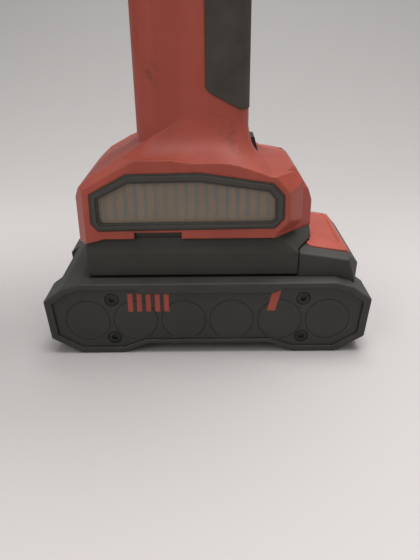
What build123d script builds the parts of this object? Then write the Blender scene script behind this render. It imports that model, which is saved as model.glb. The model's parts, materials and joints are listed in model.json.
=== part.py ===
"""Cordless brad nailer: a flywheel-driven 18 gauge nailer on a slide-on battery pack.

Row frame, millimetres: the origin is on the floor under the middle of the battery pack, +Z is up, the nose
points along -X and the battery pulls off along +X. The left side of the tool faces -Y.
"""
from build123d import *
import math
import os

# ---------------------------------------------------------------- driving dimensions
GAP = 0.15                     # general clearance between fitted pieces
SLIDE_GAP = 0.4                # clearance between pieces that slide past each other

# battery pack
PACK_HALF_L = 69.0             # X, half length over the bumpers
PACK_HALF_W = 37.5             # Y, half width
PACK_H = 33.0                  # Z, height of the case
PACK_ARCH = 4.3                # rise of the underside between the two feet
PACK_WALL = 2.7                # wall of the case
BUMPER_DEPTH = 19.0            # Y, depth of each corner bumper
BUMPER_PROUD = 4.2             # X, how far the bumpers stand past the middle of the end
CELL_R = 9.1
CELL_L = 65.0
CELL_PITCH = 20.4
CELL_COUNT = 6
CELL_Z = 15.6
COVER_T = 2.7                  # side cover thickness
COVER_RECESS = 0.9             # side cover face below the rim
PACK_SCREW_X = 40.3
PACK_SCREW_Z = (7.3, 25.4)

# battery rail and tool receiver
RAIL_X = (-47.0, 38.3)
RAIL_NECK_HALF = 19.0
RAIL_HEAD_HALF = 24.0
RAIL_NECK_TOP = 38.2
RAIL_TOP = 42.0
RECEIVER_X = (-50.4, 38.0)
RECEIVER_HALF_W = 31.0
RECEIVER_Z = (34.2, 50.4)
RECEIVER_STEP_Z = 43.9
RECEIVER_WALL = 3.0
ROOF_T = 2.6
LATCH_TRAVEL = 2.5
BAND_LEAN = 2.2                # how far the band above the step leans in
TAIL_FLAT_HALF = 17.0          # half width of the flat underside of the tail
WEDGE_TOP_Z = 46.9             # highest point of the latch wedge and its press pad
WEDGE_HIP_Z = 44.0             # height of the latch wedge at its sides

# foot
FOOT_BOTTOM = 50.5
FOOT_HALF_W = 31.0
FOOT_FRONT = -54.6
FOOT_REAR = 44.9
SHELL_WALL = 2.6
SEAM = 0.2                     # visible gap between the two housing halves

# handle
HANDLE_FRONT = -29.3
HANDLE_REAR = 17.6
HANDLE_HALF_W = 19.0
HANDLE_WALL = 3.8
PAD_DEPTH = 1.8
PAD_PROUD = 0.3

# head
DRIVE_Z = 246.0                # height of the drive axis
HEAD_HALF_W = 30.0
HEAD_FRONT = -94.0
HEAD_REAR = 50.0
HEAD_TOP = 291.0
HEAD_BELLY = 187.6
SHROUD_X = -76.0               # joint between front shroud and housing
REAR_CAP_X = 34.0              # joint between housing and rear cap

# drive
STROKE = 45.0
CARRIER_X = (-38.0, 20.0)
CARRIER_HALF_W = 6.0
CARRIER_H = 8.0
FLYWHEEL_X = -45.0
FLYWHEEL_R = 25.0
FLYWHEEL_HALF_W = 12.0
SHAFT_R = 4.0
BEARING_R = 8.0
BEARING_W = 5.0
ROD_Y = 12.0
ROD_Z = 254.0
ROD_R = 2.5
ROLLER_R = 7.0
ROLLER_HALF_W = 5.0
ARM_PIVOT = (-10.0, 266.0)
PLATE_Y = (17.0, 20.0)
BLADE_T = 1.2
BLADE_HALF_W = 1.0

# nose
MUZZLE_X = -152.0
NOSE_HALF_W = 8.5
TRIP_TRAVEL = 8.0

# magazine
BRAD_SLOT_X = (-146.5, -108.5)
BRAD_SLOT_HALF = 1.15
MAG_X = (-150.0, -105.0)
MAG_Z = (110.0, 231.8)
MAG_TRAVEL = 85.0
PUSHER_TRAVEL = 100.0


# ---------------------------------------------------------------- helpers
def block(x0, x1, y0, y1, z0, z1):
    """Box between two corners."""
    return Pos((x0 + x1) / 2, (y0 + y1) / 2, (z0 + z1) / 2) * Box(x1 - x0, y1 - y0, z1 - z0)


def rod_x(y, z, r, x0, x1):
    return Pos((x0 + x1) / 2, y, z) * Rot(0, 90, 0) * Cylinder(r, x1 - x0)


def rod_y(x, z, r, y0, y1):
    return Pos(x, (y0 + y1) / 2, z) * Rot(90, 0, 0) * Cylinder(r, y1 - y0)


def rod_z(x, y, r, z0, z1):
    return Pos(x, y, (z0 + z1) / 2) * Cylinder(r, z1 - z0)


def prism_y(points, y0, y1, round_to=0.0):
    """Outline in X, Z swept from y0 to y1; its corners can be rounded."""
    face = make_face(Polyline(*[(x, y0, z) for x, z in points], close=True))
    if round_to:
        face = fillet(face.vertices(), round_to)
    return extrude(face, amount=y1 - y0, dir=(0, 1, 0))


def prism_x(points, x0, x1):
    """Outline in Y, Z swept from x0 to x1."""
    face = make_face(Polyline(*[(x0, y, z) for y, z in points], close=True))
    return extrude(face, amount=x1 - x0, dir=(1, 0, 0))


def prism_z(points, z0, z1, round_to=0.0):
    """Outline in X, Y swept from z0 to z1."""
    face = make_face(Polyline(*[(x, y, z0) for x, y in points], close=True))
    if round_to:
        face = fillet(face.vertices(), round_to)
    return extrude(face, amount=z1 - z0, dir=(0, 0, 1))


def grown(points, by):
    """An outline moved out (by > 0) or in (by < 0), its corners kept sharp."""
    n = len(points)
    area = sum(points[i][0] * points[(i + 1) % n][1] - points[(i + 1) % n][0] * points[i][1] for i in range(n))
    side = 1.0 if area > 0 else -1.0
    edges = []
    for i in range(n):
        (x0, z0), (x1, z1) = points[i], points[(i + 1) % n]
        length = math.hypot(x1 - x0, z1 - z0)
        nx, nz = side * (z1 - z0) / length, -side * (x1 - x0) / length
        edges.append((nx, nz, nx * x0 + nz * z0 + by))
    corners = []
    for i in range(n):
        (a, b, c), (d, e, f) = edges[i - 1], edges[i]
        det = a * e - b * d
        corners.append(((c * e - b * f) / det, (a * f - c * d) / det))
    return corners


def cut_above(solid, point, normal, inset=0.0):
    """Keeps what lies behind a plane, the plane moved back by inset."""
    n = Vector(*normal).normalized()
    plane = Plane(origin=Vector(*point) - n * inset, z_dir=n)
    return solid.split(plane, keep=Keep.BOTTOM)


def mirrored(points):
    """An outline given for x >= 0, from bottom to top, closed by its mirror image."""
    return points + [(-x, z) for x, z in reversed(points)]


def flip_y(shape):
    return mirror(shape, about=Plane.XZ)


def coil_x(y, z, radius, wire, x0, x1, turns):
    """Compression spring along X between x0 and x1."""
    span = x1 - x0 - wire
    path = Pos(x0 + wire / 2, y, z) * Rot(0, 90, 0) * Helix(span / turns, span, radius)
    profile = Plane(origin=path @ 0, z_dir=path % 0) * Circle(wire / 2)
    return sweep(profile, path=path)


def coil_z(x, y, radius, wire, z0, z1, turns):
    """Compression spring along Z between z0 and z1."""
    span = z1 - z0 - wire
    path = Pos(x, y, z0 + wire / 2) * Helix(span / turns, span, radius)
    profile = Plane(origin=path @ 0, z_dir=path % 0) * Circle(wire / 2)
    return sweep(profile, path=path)


# ---------------------------------------------------------------- battery pack
PACK_SIDE = mirrored([
    (26, PACK_ARCH), (37, 0), (55, 0), (67.4, 7.3), (PACK_HALF_L, 25), (60.5, 31), (53.5, PACK_H)])
PACK_INSIDE = mirrored([
    (27, 6.3), (36.4, PACK_WALL), (54.2, PACK_WALL), (64.2, 8.8), (65.6, 23.9), (59.2, 28.4), (53, 30.3),
    (31, 30.3), (28, 28.5)])
PACK_ROOM = mirrored([
    (27, 6.3), (36.4, PACK_WALL), (54.2, PACK_WALL), (62.0, 8.0), (62.0, 25.0), (59.2, 28.4), (53, 30.3),
    (31, 30.3), (28, 28.5)])
CELL_X = [(i - (CELL_COUNT - 1) / 2) * CELL_PITCH for i in range(CELL_COUNT)]
COVER_OUT = PACK_HALF_W - COVER_RECESS


def pack_screw_places():
    return [(sx * PACK_SCREW_X, z) for sx in (-1, 1) for z in PACK_SCREW_Z]


def battery_case():
    body = prism_y(PACK_SIDE, -PACK_HALF_W, PACK_HALF_W, 0.9)
    body = fillet(body.faces().sort_by(Axis.Y)[0].edges() + body.faces().sort_by(Axis.Y)[-1].edges(), 0.8)
    recess = PACK_HALF_W - BUMPER_DEPTH
    for sx in (-1, 1):
        low, high = sorted((sx * (PACK_HALF_L - BUMPER_PROUD), sx * (PACK_HALF_L + 5)))
        body -= block(low, high, -recess, recess, -1, PACK_H)
    boss_half = COVER_OUT - COVER_T - GAP
    body -= prism_y(PACK_ROOM, -PACK_HALF_W, PACK_HALF_W, 0.6)
    for sy in (-1, 1):
        body -= prism_y(PACK_INSIDE, *sorted((sy * boss_half, sy * (PACK_HALF_W + 1))), 0.6)
    for x, z in pack_screw_places():
        body += rod_y(x, z, 2.9, -boss_half, boss_half)
        low, high = (PACK_WALL - 0.5, z) if z < CELL_Z else (z, 30.8)
        body += block(x - 1.2, x + 1.2, -boss_half, boss_half, low, high)
    for x, z in pack_screw_places():
        for sy in (-1, 1):
            y0, y1 = sorted((sy * (boss_half - 9.5), sy * (boss_half + 1)))
            body -= rod_y(x, z, 1.3, y0, y1)
    return body


GROOVE_DEPTH = 0.22            # shallow ring over each cell
GROOVE_W = 0.4


def battery_side_cover(sy):
    outline = grown(PACK_INSIDE, -GAP)
    y0, y1 = sorted((sy * (COVER_OUT - COVER_T), sy * COVER_OUT))
    cover = prism_y(outline, y0, y1, 0.6)
    face_y = sy * COVER_OUT
    for x in CELL_X:
        ring = rod_y(x, CELL_Z, CELL_R + GROOVE_W, *sorted((face_y - sy * GROOVE_DEPTH, face_y + sy)))
        ring -= rod_y(x, CELL_Z, CELL_R, *sorted((face_y - sy * 2, face_y + sy * 2)))
        cover -= ring & prism_y(grown(outline, -1.2), *sorted((face_y - sy * 2, face_y + sy * 2)))
    for x, z in pack_screw_places():
        cover -= rod_y(x, z, 3.0, *sorted((face_y - sy * 1.6, face_y + sy)))
        cover -= rod_y(x, z, 1.6, *sorted((face_y - sy * 4, face_y + sy)))
    return cover


def pack_screw(x, z, sy):
    seat = COVER_OUT - 1.6
    head = rod_y(x, z, 2.75, *sorted((sy * (seat + 0.02), sy * (seat + 1.5))))
    shank = rod_y(x, z, 1.25, *sorted((sy * (seat - 9), sy * (seat + 0.1))))
    drive = Pos(x, sy * (seat + 1.5), z) * Rot(90, 0, 0) * extrude(RegularPolygon(1.3, 6), amount=0.9, both=True)
    return head + shank - drive


def cell_holder(sy):
    y0, y1 = sorted((sy * 20.0, sy * 27.0))
    body = prism_y(grown(PACK_ROOM, -0.4), y0, y1)
    body = body & block(-62, 62, y0, y1, 0, 25.35)
    for x in CELL_X:
        body -= rod_y(x, CELL_Z, CELL_R + 0.1, y0 - 1, y1 + 1)
    for x, z in pack_screw_places():
        low, high = (0, z + 3.3) if z < CELL_Z else (z - 3.3, 31)
        body -= block(x - 3.3, x + 3.3, y0 - 1, y1 + 1, low, high)
    return [s for s in body.solids() if s.volume > 60]


def cell_links(sy):
    y0, y1 = sorted((sy * (CELL_L / 2 + 0.05), sy * (CELL_L / 2 + 0.35)))
    starts = (0, 2, 4) if sy < 0 else (1, 3)
    links = [block(CELL_X[i] - 5, CELL_X[i + 1] + 5, y0, y1, CELL_Z - 4, CELL_Z + 4) for i in starts]
    if sy > 0:
        links += [block(CELL_X[i] - 5, CELL_X[i] + 5, y0, y1, CELL_Z - 4, CELL_Z + 4) for i in (0, 5)]
    return links


LATCH_END = 66.5
WEDGE_BOTTOM = 28.0
BUTTON_X = (41.5, 62.0)
BUTTON_HALF_W = 25.0
HOOK_X = (24.0, 31.0)
CONTACT_Y = [-14.0, -7.0, 0.0, 7.0, 14.0]
CONTACT_X = (-43.0, -32.0)


def latch_block(inset=0.0, proud=0.0):
    """The wedge at the pull-off end of the pack; its top is hipped and falls away to the rear."""
    end = RAIL_X[1]
    body = block(end, LATCH_END - inset, -RECEIVER_HALF_W + inset, RECEIVER_HALF_W - inset, WEDGE_BOTTOM, 60)
    body -= prism_y(PACK_SIDE, -PACK_HALF_W, PACK_HALF_W)
    body = cut_above(body, (38, 0, 46.6 + proud), (0.17, 0, 1), inset)
    for sy in (-1, 1):
        body = cut_above(body, (38, sy * 31, 43.8 + proud), (0.161, sy * 0.2, 1), inset)
        body = cut_above(body, (60, sy * 31, 38), (0.75, sy * 0.45, 0.25), inset)
    body = cut_above(body, (58.5, 0, 43.1 + proud), (1.06, 0, 1), inset)
    return cut_above(body, (64.8, 0, 36.4), (1, 0, -0.41), inset)


def battery_top():
    neck = block(*RAIL_X, -RAIL_NECK_HALF, RAIL_NECK_HALF, PACK_H, RAIL_NECK_TOP + 0.5)
    rail = block(*RAIL_X, -RAIL_HEAD_HALF, RAIL_HEAD_HALF, RAIL_NECK_TOP, RAIL_TOP)
    rail = chamfer(rail.edges().filter_by(Axis.Z).sort_by(Axis.X)[:2], 2.0)
    wedge = latch_block()
    wedge = fillet(wedge.edges().filter_by(lambda e: e.center().Z > PACK_H + 2.0), 0.9)
    body = neck + rail + wedge
    x0, x1 = BUTTON_X
    body -= prism_z([(x0, -BUTTON_HALF_W), (x1, -BUTTON_HALF_W), (x1, BUTTON_HALF_W), (x0, BUTTON_HALF_W)],
                    PACK_H + 1.6, 60, 4.0)
    body -= block(HOOK_X[0] - SLIDE_GAP, x0 + 5, -6.5, 6.5, PACK_H + 1.6, 60)
    for y in CONTACT_Y:
        body -= block(RAIL_X[0] - 1, CONTACT_X[1] + 1.5, y - 0.9, y + 0.9, RAIL_NECK_TOP + 0.4, RAIL_TOP + 1)
    return body


def battery_contacts():
    """A pair of contact leaves in each slot of the rail."""
    leaves = []
    for y in CONTACT_Y:
        for sy in (-1, 1):
            y0, y1 = sorted((y + sy * 0.5, y + sy * 0.85))
            leaves.append(block(CONTACT_X[0] + 1, CONTACT_X[1], y0, y1, RAIL_NECK_TOP + 0.45, RAIL_TOP - 0.4))
    return leaves


def battery_board():
    board = block(-36, 36, -26, 26, 25.5, 27.1)
    chips = [block(x, x + 9, -5, 5, 27.15, 28.2) for x in (-30, -12, 6, 22)]
    for chip in chips:
        board += chip + block(*[chip.bounding_box().min.X + 1, chip.bounding_box().max.X - 1], -4, 4, 27.0, 27.3)
    return board


def battery_latch():
    """Red press pad with the hook that holds the pack in the receiver."""
    x0, x1 = BUTTON_X[0] + SLIDE_GAP, BUTTON_X[1] - SLIDE_GAP
    half = BUTTON_HALF_W - SLIDE_GAP
    pad = latch_block(0.0, 0.5) & prism_z([(x0, -half), (x1, -half), (x1, half), (x0, half)], 38.2, 60, 3.6)
    pad = pad & block(x0, x1, -half, half, 38.2, 60)
    pad = fillet(pad.faces().filter_by(lambda f: f.normal_at().Z > 0.5).edges().filter_by(
        lambda e: abs(e.center().Y) > half - 3 or e.center().X < x0 + 2), 0.5)
    groove = Pos(56.9, 0, 43.9) * Rot(90, 0, 0) * Cylinder(0.8, 2 * half - 8)
    bar = block(HOOK_X[0], x0 + 4, -6.1, 6.1, 38.2, 40.6)
    hook = prism_y([(HOOK_X[0], 38.2), (HOOK_X[0], 43.2), (HOOK_X[0] + 2, 44), (HOOK_X[1], 44), (HOOK_X[1], 38.2)],
                   -5.5, 5.5)
    return pad - groove + bar + hook


def latch_springs():
    """Two springs under the press pad."""
    return [coil_z(51, y, 2.6, 0.6, PACK_H + 1.65, 38.15, 4) for y in (-13, 13)]


# ---------------------------------------------------------------- receiver
def receiver_side():
    """Cross section of the receiver: an upright flank with a leaning band above it."""
    half = RECEIVER_HALF_W
    right = [(half, RECEIVER_Z[0]), (half, RECEIVER_STEP_Z), (half - BAND_LEAN, RECEIVER_Z[1])]
    return right + [(-y, z) for y, z in reversed(right)]


def receiver_tail():
    """The stretch of the band that runs on over the latch wedge, clear of it as the pack slides out."""
    half = RECEIVER_HALF_W
    z1 = RECEIVER_Z[1]
    low = WEDGE_TOP_Z + SLIDE_GAP
    right = [(TAIL_FLAT_HALF, low), (half, WEDGE_HIP_Z + SLIDE_GAP), (half - BAND_LEAN, z1)]
    return prism_x(right + [(-y, z) for y, z in reversed(right)], RECEIVER_X[1] - 1, FOOT_REAR - 0.4)


def receiver():
    x0, x1 = RECEIVER_X
    z0, z1 = RECEIVER_Z
    half = RECEIVER_HALF_W
    body = prism_x(receiver_side(), x0, x1)
    body = fillet(body.edges().filter_by(lambda e: e.center().X < x0 + 0.1 and abs(e.center().Y) > half - 2), 0.8)
    front = x0 + RECEIVER_WALL
    body -= block(front, x1 + 1, -RAIL_NECK_HALF - SLIDE_GAP, RAIL_NECK_HALF + SLIDE_GAP, z0 - 1, RAIL_TOP)
    body -= block(front, x1 + 1, -RAIL_HEAD_HALF - SLIDE_GAP, RAIL_HEAD_HALF + SLIDE_GAP,
                  RAIL_NECK_TOP - SLIDE_GAP, RAIL_TOP + SLIDE_GAP)
    roof = RAIL_TOP + SLIDE_GAP
    body -= block(HOOK_X[0] - 1.5, x1 + 1, -6.2, 6.2, roof - 1, roof + 2.0)
    body += receiver_tail()
    for sy in (-1, 1):
        body = cut_above(body, (CORNER_X, sy * half, z1), (1, sy, 1.465))
    body -= block(x0 + RECEIVER_WALL, FOOT_OPENING_X, -half + 4.2, half - 4.2, roof + ROOF_T, z1 + 1)
    body -= block(CONTACT_X[0] - 1.5, CONTACT_X[1] + 1.5, -18, 18, roof - 0.5, roof + ROOF_T + 1)
    body -= prism_y(grown(FOOT_SIDE, 0.1), -60, 60)
    tab = block(NOTCH_X[0] + GAP, NOTCH_X[1] - GAP, -half + 2.6, -half + 5.5, z1 - 2, NOTCH_Z - GAP)
    return body + tab + flip_y(tab)


def terminal_block():
    roof = RAIL_TOP + SLIDE_GAP
    x0, x1 = CONTACT_X[0] - 1.5 + GAP, CONTACT_X[1] + 1.5 - GAP
    body = block(x0, x1, -18 + GAP, 18 - GAP, roof, roof + ROOF_T)
    body += block(x0 - 1.2, x1 + 1.2, -19, 19, roof + ROOF_T + 0.05, roof + ROOF_T + 3)
    for y in CONTACT_Y:
        body += block(CONTACT_X[0], CONTACT_X[1], y - 0.4, y + 0.4, RAIL_NECK_TOP + 0.9, roof + 0.5)
        body += block(CONTACT_X[0] + 3, CONTACT_X[1] - 3, y - 0.4, y + 0.4, roof + ROOF_T, roof + ROOF_T + 6)
    return body


# ---------------------------------------------------------------- housing
NOTCH_X = (-29.8, -10.3)
NOTCH_Z = 53.2
CORNER_X = 28.0                # where the rear corner chamfers leave the flanks
FOOT_OPENING_X = 30.0          # rear end of the opening between foot and receiver
FOOT_SIDE = [(FOOT_FRONT, 46), (-49.8, 48.4), (-42, FOOT_BOTTOM), (FOOT_REAR, FOOT_BOTTOM), (FOOT_REAR, 61.5),
             (43.0, 66.8), (37.2, 75.4), (33.4, 78.9), (21, 80.8), (-8, 82.8), (-33.0, 82.8), (-46.3, 76),
             (-51.8, 71), (FOOT_FRONT, 65.5)]
LIP_GROW = 2.3                 # width of the raised lip round the filter, and how it spreads inwards
LIP_DEPTH = 9.0
LIP_SPREAD = 0.7
FLARE_RINGS = [  # height, front, rear, half width, corner radius
    (99.5, HANDLE_FRONT + 1.0, HANDLE_REAR - 1.0, HANDLE_HALF_W - 0.35, 10.5),
    (94.0, HANDLE_FRONT + 0.4, HANDLE_REAR - 0.3, HANDLE_HALF_W + 0.4, 11.0),
    (88.0, HANDLE_FRONT - 4.0, HANDLE_REAR + 0.7, HANDLE_HALF_W + 3.0, 12.5),
    (84.0, HANDLE_FRONT - 10.0, HANDLE_REAR + 2.0, HANDLE_HALF_W + 7.4, 15.0),
    (80.5, HANDLE_FRONT - 19.0, HANDLE_REAR + 4.6, HANDLE_HALF_W + 13.6, 18.0),
    (75.0, HANDLE_FRONT - 30.0, HANDLE_REAR + 12.0, HANDLE_HALF_W + 24.0, 22.0)]
HANDLE_SECTIONS = [  # height, front, rear, half width, corner radius
    (74.0, HANDLE_FRONT, HANDLE_REAR + 5.0, HANDLE_HALF_W, 11.0),
    (88.5, HANDLE_FRONT + 0.5, HANDLE_REAR, HANDLE_HALF_W, 11.0),
    (150.0, HANDLE_FRONT, HANDLE_REAR, HANDLE_HALF_W, 11.0),
    (182.0, HANDLE_FRONT - 1.0, HANDLE_REAR + 3.0, HANDLE_HALF_W + 0.5, 11.5),
    (205.0, HANDLE_FRONT - 3.0, HANDLE_REAR + 10.0, HANDLE_HALF_W + 1.5, 12.0)]
HEAD_SIDE = [(HEAD_FRONT, 224), (-84, 201), (-72, HEAD_BELLY), (-6, HEAD_BELLY), (26, 197), (44, 219),
             (HEAD_REAR, 240), (HEAD_REAR, 264), (43, 282), (28, HEAD_TOP), (-44, HEAD_TOP), (-72, 285.5),
             (HEAD_FRONT, 268)]
HEAD_END = [(-15, 180), (15, 180), (HEAD_HALF_W, 203), (HEAD_HALF_W, 262), (19, 284), (15, 296), (-15, 296),
            (-19, 284), (-HEAD_HALF_W, 262), (-HEAD_HALF_W, 203)]


def foot_corners(body, inset=0.0):
    """Trims the four corners of the foot as seen from above, the hips beside the window and the rear slope."""
    for sy in (-1, 1):
        body = cut_above(body, (-49.6, sy * 31, 60), (-11, sy * 5, 0), inset)
        body = cut_above(body, (CORNER_X, sy * 31, 60), (1, sy, 0), inset)
        body = cut_above(body, (31.4, sy * 31, 71.0), (1, sy * 0.5625, 0.733), inset)
        body = cut_above(body, (28.1, sy * 31, 75.5), (0.174, sy * 0.156, 1), inset)
        body = cut_above(body, (-40.0, sy * 31, 76.2), (-0.34, sy * 1.1, 0.62), inset)
    return body


def foot_solid(inset=0.0):
    side = FOOT_SIDE if not inset else grown(FOOT_SIDE, -inset)
    half = FOOT_HALF_W - inset
    body = prism_y(side, -half, half)
    return foot_corners(body, inset)


def window_lip(sy):
    """Raised lip round the rear part of the filter window; its outer sides spread inwards."""
    rings = []
    for depth in (0.0, LIP_DEPTH):
        outline = grown(WINDOW, LIP_GROW + depth * LIP_SPREAD)
        y = sy * (FOOT_HALF_W - depth)
        rings.append(make_face(Polyline(*[(x, y, z) for x, z in outline], close=True)))
    body = loft(rings, ruled=True)
    return body & block(0, FOOT_REAR, -FOOT_HALF_W, FOOT_HALF_W, FOOT_BOTTOM, 76)


def flare_solid(inset=0.0):
    """The concave sweep that carries the handle down into the foot; its front is cut to a straight ramp."""
    rings = []
    for z, front, rear, half, corner in FLARE_RINGS:
        ring = RectangleRounded(rear - front - 2 * inset, 2 * (half - inset), max(corner - inset, 1.0))
        rings.append(Pos((front + rear) / 2, 0, z) * ring)
    body = loft(rings) & block(-46, 34, -FOOT_HALF_W + inset, FOOT_HALF_W - inset, 60, 110)
    body = cut_above(body, (-46.3, 0, 76.0), (-0.549, 0, 1), inset)
    for sy in (-1, 1):
        body = cut_above(body, (-40.0, sy * 31, 76.2), (-0.34, sy * 1.1, 0.62), inset)
    return body


def handle_solid(inset=0.0):
    rings = []
    for z, front, rear, half, corner in HANDLE_SECTIONS:
        ring = RectangleRounded(rear - front - 2 * inset, 2 * (half - inset), max(corner - inset, 1.0))
        rings.append(Pos((front + rear) / 2, 0, z) * ring)
    return loft(rings, ruled=True)


def head_solid(inset=0.0):
    side = HEAD_SIDE if not inset else grown(HEAD_SIDE, -inset)
    end = HEAD_END if not inset else grown(HEAD_END, -inset)
    return prism_y(side, -HEAD_HALF_W, HEAD_HALF_W) & prism_x(end, HEAD_FRONT - 5, HEAD_REAR + 5)


PAD_ZONE = [(0.0, 108.0), (2.0, 105.9), (14.4, 99.4), (40, 99.4), (40, 200.5), (14, 192), (0.0, 183)]
WINDOW = [(-46.8, 69.2), (-31.6, 77.3), (-2.6, 77.7), (26.6, 73.2), (31.2, 68.2), (31.4, 58.6), (27.6, 54.7),
          (-44.2, 53.9), (-46.9, 57.0)]
MESH = [(-43.6, 67.3), (-31.0, 73.6), (-2.6, 74.0), (25.0, 69.8), (27.6, 66.6), (27.8, 58.8), (26.4, 57.4),
        (-42.6, 57.0), (-43.6, 58.2)]
PORT_Z = (80.0, 86.8)
PORT_HALF_W = 6.0
PORT_X = (HANDLE_REAR - 3.0, HANDLE_REAR + 8.0)
PORT_LEAN = 2.4
PORT_PROUD = 2.2
CAP_R = 23.0
TRIGGER_SLOT_Z = (152.5, 189.9)
TRIGGER_HALF_W = 7.0
HOUSING_SCREWS = [(-44, 61.5), (37.5, 62.0), (-21.5, 128.0), (12.4, 190.0), (-66, 279.5), (-20, 284.3)]
HOOK_PIVOT = (20.0, 250.0)
CAP_SCREWS = [(y, z) for y in (-24.0, 24.0) for z in (240.0, 251.0)]
FRONT_SCREW_X = (-90.0, -64.0)
REAR_SCREW_X = (46.0, 22.0)


def screw_boss(x, z, half, r=3.2):
    return rod_y(x, z, r, -half, half)


def is_grip(z):
    return 90 < z < 187


def housing():
    """Both halves of the moulded housing, before they are parted at the middle plane."""
    outer = foot_solid() + flare_solid() + handle_solid() + head_solid()
    for sy in (-1, 1):
        outer += window_lip(sy)
    for sy in (-1, 1):
        outer += rod_y(FLYWHEEL_X, flywheel_z(), CAP_R + 3.0, *sorted((sy * 21.0, sy * (HEAD_HALF_W + 1.5))))
    room = foot_solid(SHELL_WALL) + handle_solid(HANDLE_WALL) + head_solid(SHELL_WALL)
    room += block(FOOT_FRONT + 8, FOOT_OPENING_X, -FOOT_HALF_W + 4.2, FOOT_HALF_W - 4.2, 40, 60)
    room += block(HANDLE_FRONT + 6, HANDLE_REAR - 6, -13, 13, 70, 92)
    body = outer - room
    bosses = []
    for x, z in HOUSING_SCREWS:
        bosses.append(rod_y(x, z, 3.4, -29, 29))
    for y, z in CAP_SCREWS:
        bosses.append(rod_x(y, z, 3.0, SHROUD_X, FRONT_SCREW_X[1]) + block(
            SHROUD_X, FRONT_SCREW_X[1], *sorted((y, math.copysign(HEAD_HALF_W - 1, y))), z - 1.5, z + 1.5))
        bosses.append(rod_x(y, z, 3.0, REAR_SCREW_X[1], REAR_CAP_X) + block(
            REAR_SCREW_X[1], REAR_CAP_X, *sorted((y, math.copysign(HEAD_HALF_W - 1, y))), z - 1.5, z + 1.5))
    for sy in (-1, 1):
        bosses.append(rod_y(*HOOK_PIVOT, 6.5, *sorted((sy * 21.5, sy * (HEAD_HALF_W - 1)))))
        for x0, z0 in FRAME_PADS:
            bosses.append(block(x0, x0 + 6, *sorted((sy * (PLATE_Y[1] + 0.1), sy * (HEAD_HALF_W - 1))), z0, z0 + 4))
    for boss in bosses:
        body += boss & outer
    body -= block(-120, SHROUD_X, -60, 60, 150, 320)
    body -= block(REAR_CAP_X, 80, -60, 60, 180, 320)
    for sy in (-1, 1):
        y0, y1 = sorted((sy * (FOOT_HALF_W - 4.8), sy * (FOOT_HALF_W + 3)))
        body -= prism_y(grown(WINDOW, GAP), y0, y1)
        body -= block(*NOTCH_X, *sorted((sy * (FOOT_HALF_W - 5), sy * (FOOT_HALF_W + 2))), FOOT_BOTTOM - 6, NOTCH_Z)
        body -= rod_y(FLYWHEEL_X, flywheel_z(), CAP_R + GAP, *sorted((sy * 20.5, sy * (HEAD_HALF_W + 3))))
    body -= rod_y(*HOOK_PIVOT, HOOK_THREAD_R, -HEAD_HALF_W - 3, -22.5)
    body -= rod_y(*HOOK_PIVOT, HOOK_STUD_R + 0.1, 22.5, HEAD_HALF_W + 3)
    body -= rod_y(*TRIGGER_PIVOT, 2.05, -12.1, 12.1)
    body -= grip_zone() & (handle_solid(-PAD_PROUD - 0.5) - handle_solid(PAD_DEPTH)) - head_solid()
    body -= port_pocket(0.0)
    body -= block(HANDLE_FRONT - 12, HANDLE_FRONT + 12, -TRIGGER_HALF_W - SLIDE_GAP,
                  TRIGGER_HALF_W + SLIDE_GAP, TRIGGER_SLOT_Z[0], 192)
    body -= rod_y(*LOCK_AT, LOCK_R + 0.2, -40, 40)
    for x, z in HOUSING_SCREWS:
        body -= rod_y(x, z, 1.3, -SCREW_L, screw_seat(z) + 1)
        body -= rod_y(x, z, 3.2, screw_seat(z), 40)
    for y, z in CAP_SCREWS:
        body -= rod_x(y, z, 1.3, SHROUD_X - 1, FRONT_SCREW_X[1] + 1)
        body -= rod_x(y, z, 1.3, REAR_SCREW_X[1] + 0.5, REAR_CAP_X + 1)
    return body


SCREW_L = 13.0
SCREW_R = 1.25
HEAD_R = 2.9
LOCK_AT = (-12.0, 181.0)
LOCK_R = 3.2
HOOK_STUD_R = 2.1
HOOK_THREAD_R = 2.1
TRIGGER_PIVOT = (-31.0, 190.0)
FRAME_PADS = [(-74, 246), (-12, 268), (14, 214)]


def screw_seat(z):
    """How far out the head of a housing screw sits from the middle plane."""
    return 11.5 if is_grip(z) or z > 270 or 187 < z < 200 else 24.0


def housing_screws():
    """Identical screws: clamshell screws from the right, cap screws from the front and the rear."""
    screws = []
    for x, z in HOUSING_SCREWS:
        seat = screw_seat(z)
        start = seat - 20 if seat > 20 else -8.5
        screws.append(rod_y(x, z, SCREW_R, start, seat + 0.1) + rod_y(x, z, HEAD_R, seat + 0.02, seat + 2.2)
                      - rod_y(x, z, 1.2, seat + 1.0, seat + 3))
    for y, z in CAP_SCREWS:
        x = FRONT_SCREW_X[0]
        screws.append(rod_x(y, z, SCREW_R, x, x + 20) + rod_x(y, z, HEAD_R, x - 2.2, x)
                      - rod_x(y, z, 1.2, x - 3, x - 1.0))
        x = REAR_SCREW_X[0]
        screws.append(rod_x(y, z, SCREW_R, x - 20, x) + rod_x(y, z, HEAD_R, x, x + 2.2)
                      - rod_x(y, z, 1.2, x + 1.0, x + 3))
    return screws


def flywheel_z():
    return DRIVE_Z - CARRIER_H / 2 - FLYWHEEL_R - 0.3


def grip_zone():
    return prism_y(PAD_ZONE, -40, 40)


def grip_pad():
    pad = (handle_solid(-PAD_PROUD) - handle_solid(PAD_DEPTH - 0.05)) & grip_zone()
    pad -= head_solid()
    return pad


def port_pocket(shrink):
    """Opening in the rear of the flare, leaning with it."""
    z0, z1 = PORT_Z[0] + shrink, PORT_Z[1] - shrink
    x0, x1 = PORT_X[0] + shrink, PORT_X[1]
    half = PORT_HALF_W - shrink
    return prism_y([(x0 + PORT_LEAN, z0), (x1 + PORT_LEAN, z0), (x1, z1), (x0, z1)], -half, half)


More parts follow.
